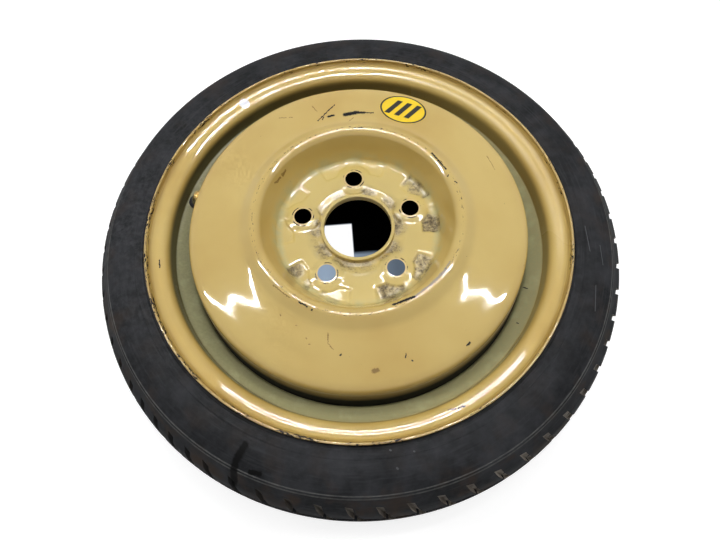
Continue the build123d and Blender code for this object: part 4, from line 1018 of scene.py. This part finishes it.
def seatTree(sizes):
    tree, given = nodeTree("nutSeatsRoundBoltCircle", sizes)
    drill = addNode(tree, "GeometryNodeMeshCylinder", {"Vertices": 64, "Radius": given["Hole radius"],
                                                       "Depth": 30 * mm}, fill_type="NGON")
    deep = addNode(tree, "ShaderNodeMath", {0: given["Seat radius"], 1: given["Hole radius"]}, operation="SUBTRACT")
    cone = math.tan(math.radians(hubSizes["seatAngle"]))
    deep = addNode(tree, "ShaderNodeMath", {0: deep, 1: cone}, operation="DIVIDE")
    tall = addNode(tree, "ShaderNodeMath", {0: deep, 1: 2.0}, operation="MULTIPLY")
    wide = addNode(tree, "ShaderNodeMath", {0: given["Seat radius"], 1: 2.0, 2: given["Hole radius"]},
                   operation="MULTIPLY_ADD")
    wide = addNode(tree, "ShaderNodeMath", {0: given["Hole radius"], 1: -2.0, 2: wide}, operation="MULTIPLY_ADD")
    sink = addNode(tree, "GeometryNodeMeshCone", {"Vertices": 64, "Radius Top": wide,
                                                  "Radius Bottom": given["Hole radius"], "Depth": tall},
                   fill_type="NGON")
    sinkFoot = addNode(tree, "ShaderNodeMath", {0: given["Seat top"], 1: deep}, operation="SUBTRACT")
    sinkPlace = addNode(tree, "ShaderNodeCombineXYZ", {"X": given["Bolt circle"], "Z": sinkFoot})
    sinkSet = addNode(tree, "GeometryNodeTransform", {"Geometry": sink, "Translation": sinkPlace})
    drillPlace = addNode(tree, "ShaderNodeCombineXYZ", {"X": given["Bolt circle"], "Z": given["Seat top"]})
    drillSet = addNode(tree, "GeometryNodeTransform", {"Geometry": drill, "Translation": drillPlace})
    spots = addNode(tree, "GeometryNodePoints", {"Count": given["Bolt count"]})
    pitch = addNode(tree, "ShaderNodeMath", {0: math.tau, 1: given["Bolt count"]}, operation="DIVIDE")
    index = addNode(tree, "GeometryNodeInputIndex")
    turn = addNode(tree, "ShaderNodeMath", {0: index, 1: pitch, 2: given["First bolt"]}, operation="MULTIPLY_ADD")
    spin = addNode(tree, "ShaderNodeCombineXYZ", {"Z": turn})
    body = given["Geometry"]
    for tool in (drillSet, sinkSet):
        ring = addNode(tree, "GeometryNodeInstanceOnPoints", {"Points": spots, "Instance": tool, "Rotation": spin})
        ring = addNode(tree, "GeometryNodeRealizeInstances", {"Geometry": ring})
        body = addNode(tree, "GeometryNodeMeshBoolean", {0: body, 1: ring}, operation="DIFFERENCE", solver="EXACT")
    whole = addNode(tree, "GeometryNodeRealizeInstances", {"Geometry": body})
    painted = addNode(tree, "GeometryNodeSetMaterial", {"Geometry": whole, "Material": discPaint})
    addNode(tree, "NodeGroupOutput", {"Geometry": painted})
    return tree


def makeDisc(s):
    path = s["face"]
    faceOut, faceHigh = [c[0] for c in path[4:13]], [c[1] for c in path[4:13]]

    def longest(place):
        if place[0] > 166.5:
            return 12.0
        if place[0] > 84 or place[1] > 112:
            return 7.0 if place[1] < np.interp(place[0], faceOut, faceHigh) - s["sheet"] / 2 else 3.0
        return 1.0 if place[1] > s["hubFace"] + 2.2 else 2.6  # the back of the sheet is divided less

    loop = roundedLoop(path + sheetBack(path, s["sheet"])[::-1], 6, longest)
    points, faces = spinLoop(loop, s["turns"])
    pressHub(points, s, hubSizes)
    disc = makePiece("pressedDisc", points, faces)
    angle = math.radians(s["notchAngle"])
    bite = makePiece("valveBite", *spinLoop(np.array([(0.01, 20), (s["notchRadius"], 20), (s["notchRadius"], 160),
                                                      (0.01, 160)]), 160))
    bite.matrix_world = Matrix.Translation(Vector((math.cos(angle), math.sin(angle), 0)) * s["notchCentre"] * mm)
    cut = disc.modifiers.new("valveBite", "BOOLEAN")
    cut.object = bite
    cut.operation = "DIFFERENCE"
    cut.solver = "EXACT"
    keepGrown(disc)
    bpy.data.objects.remove(bite)
    growPiece(disc, seatTree(seatSizes), seatSizes)
    smoothPiece(disc, 38)
    finishPiece(disc, "wheel_paint", "wheel_disc")


makeDisc(discSizes)


# welds: four rippled beads swept by nodes along the joint between the skirt's end and the well
weldSizes = {"Bead count": 4, "First bead": math.radians(30), "Bead span": math.radians(62),
             "Bead radius": 169.0 * mm, "Bead height": 51.8 * mm, "Bead width": 2.5 * mm,
             "Ripple pitch": 2.4 * mm, "Ripple depth": 0.12}


def weldTree(sizes):
    tree, given = nodeTree("rippledWeldBeads", sizes)
    halfSpan = addNode(tree, "ShaderNodeMath", {0: given["Bead span"], 1: -0.5}, operation="MULTIPLY")
    arc = addNode(tree, "GeometryNodeCurveArc", {"Resolution": 460, "Radius": given["Bead radius"],
                                                 "Start Angle": halfSpan, "Sweep Angle": given["Bead span"]})
    along = addNode(tree, "GeometryNodeSplineParameter").outputs
    wave = addNode(tree, "ShaderNodeMath", {0: along["Length"], 1: given["Ripple pitch"]}, operation="DIVIDE")
    wave = addNode(tree, "ShaderNodeMath", {0: wave, 1: math.tau}, operation="MULTIPLY")
    wave = addNode(tree, "ShaderNodeMath", {0: wave}, operation="SINE")
    swell = addNode(tree, "ShaderNodeMath", {0: wave, 1: given["Ripple depth"], 2: 1.0}, operation="MULTIPLY_ADD")
    left = addNode(tree, "ShaderNodeMath", {0: 1.0, 1: along["Factor"]}, operation="SUBTRACT")
    ends = addNode(tree, "ShaderNodeMath", {0: along["Factor"], 1: left}, operation="MULTIPLY")
    ends = addNode(tree, "ShaderNodeMapRange", {"Value": ends, "From Max": 0.012, "To Min": 0.55})
    swell = addNode(tree, "ShaderNodeMath", {0: swell, 1: ends}, operation="MULTIPLY")
    section = addNode(tree, "GeometryNodeCurvePrimitiveCircle", {"Resolution": 12, "Radius": given["Bead width"]})
    bead = addNode(tree, "GeometryNodeCurveToMesh", {"Curve": arc, "Profile Curve": section, "Scale": swell,
                                                     "Fill Caps": True})
    lift = addNode(tree, "ShaderNodeCombineXYZ", {"Z": given["Bead height"]})
    raised = addNode(tree, "GeometryNodeTransform", {"Geometry": bead, "Translation": lift})
    spots = addNode(tree, "GeometryNodePoints", {"Count": given["Bead count"]})
    pitch = addNode(tree, "ShaderNodeMath", {0: math.tau, 1: given["Bead count"]}, operation="DIVIDE")
    index = addNode(tree, "GeometryNodeInputIndex")
    turn = addNode(tree, "ShaderNodeMath", {0: index, 1: pitch, 2: given["First bead"]}, operation="MULTIPLY_ADD")
    spin = addNode(tree, "ShaderNodeCombineXYZ", {"Z": turn})
    ring = addNode(tree, "GeometryNodeInstanceOnPoints", {"Points": spots, "Instance": raised, "Rotation": spin})
    whole = addNode(tree, "GeometryNodeRealizeInstances", {"Geometry": ring})
    painted = addNode(tree, "GeometryNodeSetMaterial", {"Geometry": whole, "Material": discPaint})
    addNode(tree, "NodeGroupOutput", {"Geometry": painted})
    return tree


welds = growPiece(makePiece("weldBeads", [], []), weldTree(weldSizes), weldSizes)
finishPiece(smoothPiece(welds, 50), "wheel_paint", "disc_welds")


# moulded valve rubber is dull black with a grey bloom, seal rubber the same but clean; turned brass has gone dull
# and brown in patches; drawn spring wire is bright grey
valveFinish = {
    "valve_rubber": {"name": "moulded valve rubber", "colour": "#111112", "worn": "#2B2B2C", "patch": 3.0,
                     "grain": 0.5, "rough": (0.5, 0.8), "metallic": 0.0},
    "valve_brass": {"name": "turned brass gone dull", "colour": "#B39154", "worn": "#6F5730", "patch": 2.2,
                    "grain": 0.4, "rough": (0.28, 0.5), "metallic": 1.0},
    "core_seal": {"name": "moulded seal rubber", "colour": "#131314", "worn": "#202021", "patch": 1.5,
                  "grain": 0.3, "rough": (0.45, 0.65), "metallic": 0.0},
    "spring_steel": {"name": "drawn spring steel wire", "colour": "#A9AAAD", "worn": "#7C7D81", "patch": 0.8,
                     "grain": 0.2, "rough": (0.22, 0.4), "metallic": 1.0},
}


def valveMaterial(s):
    material, tree = newMaterial(s["name"])
    point = wheelPoint(tree)[0]
    patches = addNode(tree, "ShaderNodeTexNoise", {"Vector": point, "Scale": 1 / s["patch"], "Detail": 4.0})
    share = addNode(tree, "ShaderNodeMapRange", {"Value": patches, "From Min": 0.42, "From Max": 0.68})
    coat = addNode(tree, "ShaderNodeMix", {"Factor": share, "A": linear(s["colour"]), "B": linear(s["worn"])},
                   data_type="RGBA")
    rough = addNode(tree, "ShaderNodeMapRange", {"Value": share, "To Min": s["rough"][0], "To Max": s["rough"][1]})
    grain = addNode(tree, "ShaderNodeTexNoise", {"Vector": point, "Scale": 1 / s["grain"], "Detail": 2.0})
    bump = addNode(tree, "ShaderNodeBump", {"Height": grain, "Strength": 0.2, "Distance": 0.0001})
    shader = addNode(tree, "ShaderNodeBsdfPrincipled", {"Base Color": coat, "Roughness": rough,
                                                        "Metallic": s["metallic"], "Normal": bump})
    addNode(tree, "ShaderNodeOutputMaterial", {"Surface": shader})
    return material


valvePaint = {slotName: valveMaterial(finish) for slotName, finish in valveFinish.items()}


# printed vinyl film: flat glossy yellow, black keyline and plain bars, rubbed paler along the edge
labelFinish = {"yellow": "#F4CF1A", "rubbed": "#D9BB4A", "ink": "#15130D", "centre": (58.14, 125.82),
               "turn": -24.8, "halfSize": (25.5, 19.5), "keyline": 0.945, "lineHalf": 0.04,
               "thick": 0.2, "bars": (-0.42, 0.0, 0.42), "barHalf": 0.11, "barTall": 0.55, "slant": 0.3,
               "speckSize": 1.2}


def labelFilm(s):
    material, tree = newMaterial("printed vinyl film")
    place = addNode(tree, "ShaderNodeTexCoord").outputs["Object"]
    spot = addNode(tree, "ShaderNodeMapping", {"Vector": place, "Location": (*[c * mm for c in s["centre"]], 0),
                                               "Rotation": (0, 0, math.radians(s["turn"])),
                                               "Scale": (*[c * mm for c in s["halfSize"]], 1)},
                   vector_type="TEXTURE")
    parts = addNode(tree, "ShaderNodeSeparateXYZ", {0: spot}).outputs
    flat = addNode(tree, "ShaderNodeCombineXYZ", {"X": parts["X"], "Y": parts["Y"]})
    away = addNode(tree, "ShaderNodeVectorMath", {0: flat}, operation="LENGTH")
    lineOff = addNode(tree, "ShaderNodeMath", {0: away, 1: s["keyline"]}, operation="SUBTRACT")
    lineOff = addNode(tree, "ShaderNodeMath", {0: lineOff}, operation="ABSOLUTE")
    ink = addNode(tree, "ShaderNodeMapRange", {"Value": lineOff, "From Min": s["lineHalf"] + 0.01,
                                               "From Max": s["lineHalf"] - 0.01})
    tall = addNode(tree, "ShaderNodeMath", {0: parts["Y"]}, operation="ABSOLUTE")
    tallStep = addNode(tree, "ShaderNodeMapRange", {"Value": tall, "From Min": s["barTall"] + 0.015,
                                                    "From Max": s["barTall"] - 0.015})
    lean = addNode(tree, "ShaderNodeMath", {0: parts["Y"], 1: -s["slant"], 2: parts["X"]}, operation="MULTIPLY_ADD")
    for bar in s["bars"]:
        off = addNode(tree, "ShaderNodeMath", {0: lean, 1: bar}, operation="SUBTRACT")
        off = addNode(tree, "ShaderNodeMath", {0: off}, operation="ABSOLUTE")
        one = addNode(tree, "ShaderNodeMapRange", {"Value": off, "From Min": s["barHalf"] + 0.01,
                                                   "From Max": s["barHalf"] - 0.01})
        one = addNode(tree, "ShaderNodeMath", {0: one, 1: tallStep}, operation="MULTIPLY")
        ink = addNode(tree, "ShaderNodeMath", {0: ink, 1: one}, operation="MAXIMUM")
    point = addNode(tree, "ShaderNodeVectorMath", {0: place, "Scale": 1 / mm}, operation="SCALE")
    specks = addNode(tree, "ShaderNodeTexNoise", {"Vector": point, "Scale": 1 / s["speckSize"], "Detail": 4.0})
    edge = addNode(tree, "ShaderNodeMapRange", {"Value": away, "From Min": 0.9, "From Max": 1.0, "To Max": 0.18})
    rubSum = addNode(tree, "ShaderNodeMath", {0: specks, 1: edge}, operation="ADD")
    rub = addNode(tree, "ShaderNodeMapRange", {"Value": rubSum, "From Min": 0.6, "From Max": 0.72, "To Max": 0.8})
    coat = addNode(tree, "ShaderNodeMix", {"Factor": rub, "A": linear(s["yellow"]), "B": linear(s["rubbed"])},
                   data_type="RGBA")
    coat = addNode(tree, "ShaderNodeMix", {"Factor": ink, "A": coat, "B": linear(s["ink"])}, data_type="RGBA")
    rough = addNode(tree, "ShaderNodeMapRange", {"Value": rub, "To Min": 0.28, "To Max": 0.5})
    bump = addNode(tree, "ShaderNodeBump", {"Height": specks, "Strength": 0.1, "Distance": 0.0001})
    shader = addNode(tree, "ShaderNodeBsdfPrincipled", {"Base Color": coat, "Roughness": rough, "IOR": 1.45,
                                                        "Normal": bump})
    addNode(tree, "ShaderNodeOutputMaterial", {"Surface": shader})
    return material


# oval film laid on the dome's seen face, which it follows
def makeLabel(s, film):
    corners = np.array(discSizes["face"][5:-2])
    seen = roundedLoop(discSizes["face"], 3, lambda place: 0.5)
    seen = seen[np.abs(seen[:, 1] - np.interp(seen[:, 0], corners[:, 0], corners[:, 1])) < 1.2]
    seen = seen[(seen[:, 0] > 108) & (seen[:, 0] < 163)]
    rings, turns = 18, 120
    share, turn = np.meshgrid(np.arange(1, rings + 1) / rings, np.arange(turns) * 2 * math.pi / turns, indexing="ij")
    along = s["halfSize"][0] * share * np.cos(turn)
    up = s["halfSize"][1] * share * np.sin(turn)
    lean = math.radians(s["turn"])
    x = np.append(s["centre"][0] + along * math.cos(lean) - up * math.sin(lean), s["centre"][0])
    y = np.append(s["centre"][1] + along * math.sin(lean) + up * math.cos(lean), s["centre"][1])
    order = np.argsort(seen[:, 0])
    z = np.interp(np.hypot(x, y), seen[order, 0], seen[order, 1])
    points = np.concatenate([np.stack([x, y, z + s["thick"]], 1), np.stack([x, y, z - 0.1], 1)])
    half = len(x)
    faces = []
    for k in range(turns):
        j = (k + 1) % turns
        faces += [(half - 1, k, j), (2 * half - 1, half + j, half + k)]
        for i in range(rings - 1):
            a, b, c, d = i * turns + k, (i + 1) * turns + k, (i + 1) * turns + j, i * turns + j
            faces += [(a, b, c, d), (half + d, half + c, half + b, half + a)]
        edge = (rings - 1) * turns
        faces.append((edge + k, half + edge + k, half + edge + j, edge + j))
    mesh = bpy.data.meshes.new("domeLabel")
    mesh.from_pydata((points * mm).tolist(), [], faces)
    mesh.materials.append(film)
    label = bpy.data.objects.new("domeLabel", mesh)
    bpy.context.scene.collection.objects.link(label)
    finishPiece(smoothPiece(label, 40), "label_film", "dome_label")


def paintNode(node, material):
    mesh = frame["nodes"][node].data
    mesh.materials.clear()
    mesh.materials.append(material)


makeLabel(labelFinish, labelFilm(labelFinish))
for part in frame["record"]["subparts"]:
    if part["material_slot"] in valvePaint:
        paintNode(part["node"], valvePaint[part["material_slot"]])
print("valve and label finished")


# coils that nodes wind along the valve: the thread on the brass stem and the spring inside its core
threadSizes = {"Turns": 9.0, "Coil radius": 3.8 * mm, "Wire radius": 0.28 * mm, "Height": 7.2 * mm,
               "Foot": 13.4 * mm, "Steps": 40}
springSizes = {"Turns": 6.0, "Coil radius": 0.75 * mm, "Wire radius": 0.1 * mm, "Height": 5.34 * mm,
               "Foot": 7.73 * mm, "Steps": 28}
valvePlace = {"foot": (-169.57, 54.77, 89.07), "springFloor": 7.6, "springKeep": 0.786}


def coilTree(name, sizes, material):
    tree, given = nodeTree(name, sizes)
    spiral = addNode(tree, "GeometryNodeCurveSpiral", {"Resolution": given["Steps"], "Rotations": given["Turns"],
                                                       "Start Radius": given["Coil radius"],
                                                       "End Radius": given["Coil radius"],
                                                       "Height": given["Height"]})
    wire = addNode(tree, "GeometryNodeCurvePrimitiveCircle", {"Resolution": 8, "Radius": given["Wire radius"]})
    wound = addNode(tree, "GeometryNodeCurveToMesh", {"Curve": spiral, "Profile Curve": wire, "Fill Caps": True})
    lift = addNode(tree, "ShaderNodeCombineXYZ", {"Z": given["Foot"]})
    stood = addNode(tree, "GeometryNodeTransform", {"Geometry": wound, "Translation": lift})
    tilt = valveUp.to_track_quat("Z", "Y").to_euler()
    leaned = addNode(tree, "GeometryNodeTransform", {"Geometry": stood, "Rotation": tilt,
                                                     "Translation": Vector(valvePlace["foot"]) * mm})
    whole = addNode(tree, "GeometryNodeRealizeInstances", {"Geometry": leaned})
    painted = addNode(tree, "GeometryNodeSetMaterial", {"Geometry": whole, "Material": material})
    addNode(tree, "NodeGroupOutput", {"Geometry": painted})
    return tree


thread = growPiece(makePiece("stemThread", [], []),
                   coilTree("stemThreadRidge", threadSizes, valvePaint["valve_brass"]), threadSizes)
finishPiece(smoothPiece(thread, 50), "valve_brass")
spring = growPiece(makePiece("coreSpring", [], []),
                   coilTree("woundCoreSpring", springSizes, valvePaint["spring_steel"]), springSizes)
finishPiece(smoothPiece(spring, 50), "spring_steel", "valve_core_spring")
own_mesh(spring)

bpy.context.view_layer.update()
# the front strip only shows in the rolled ring, as the long lines along its curl
ringOnly = bpy.data.collections.new("ringOnly")
ringOnly.objects.link(bpy.data.objects["rolledRim"])
bpy.data.objects["frontGlint"].light_linking.receiver_collection = ringOnly
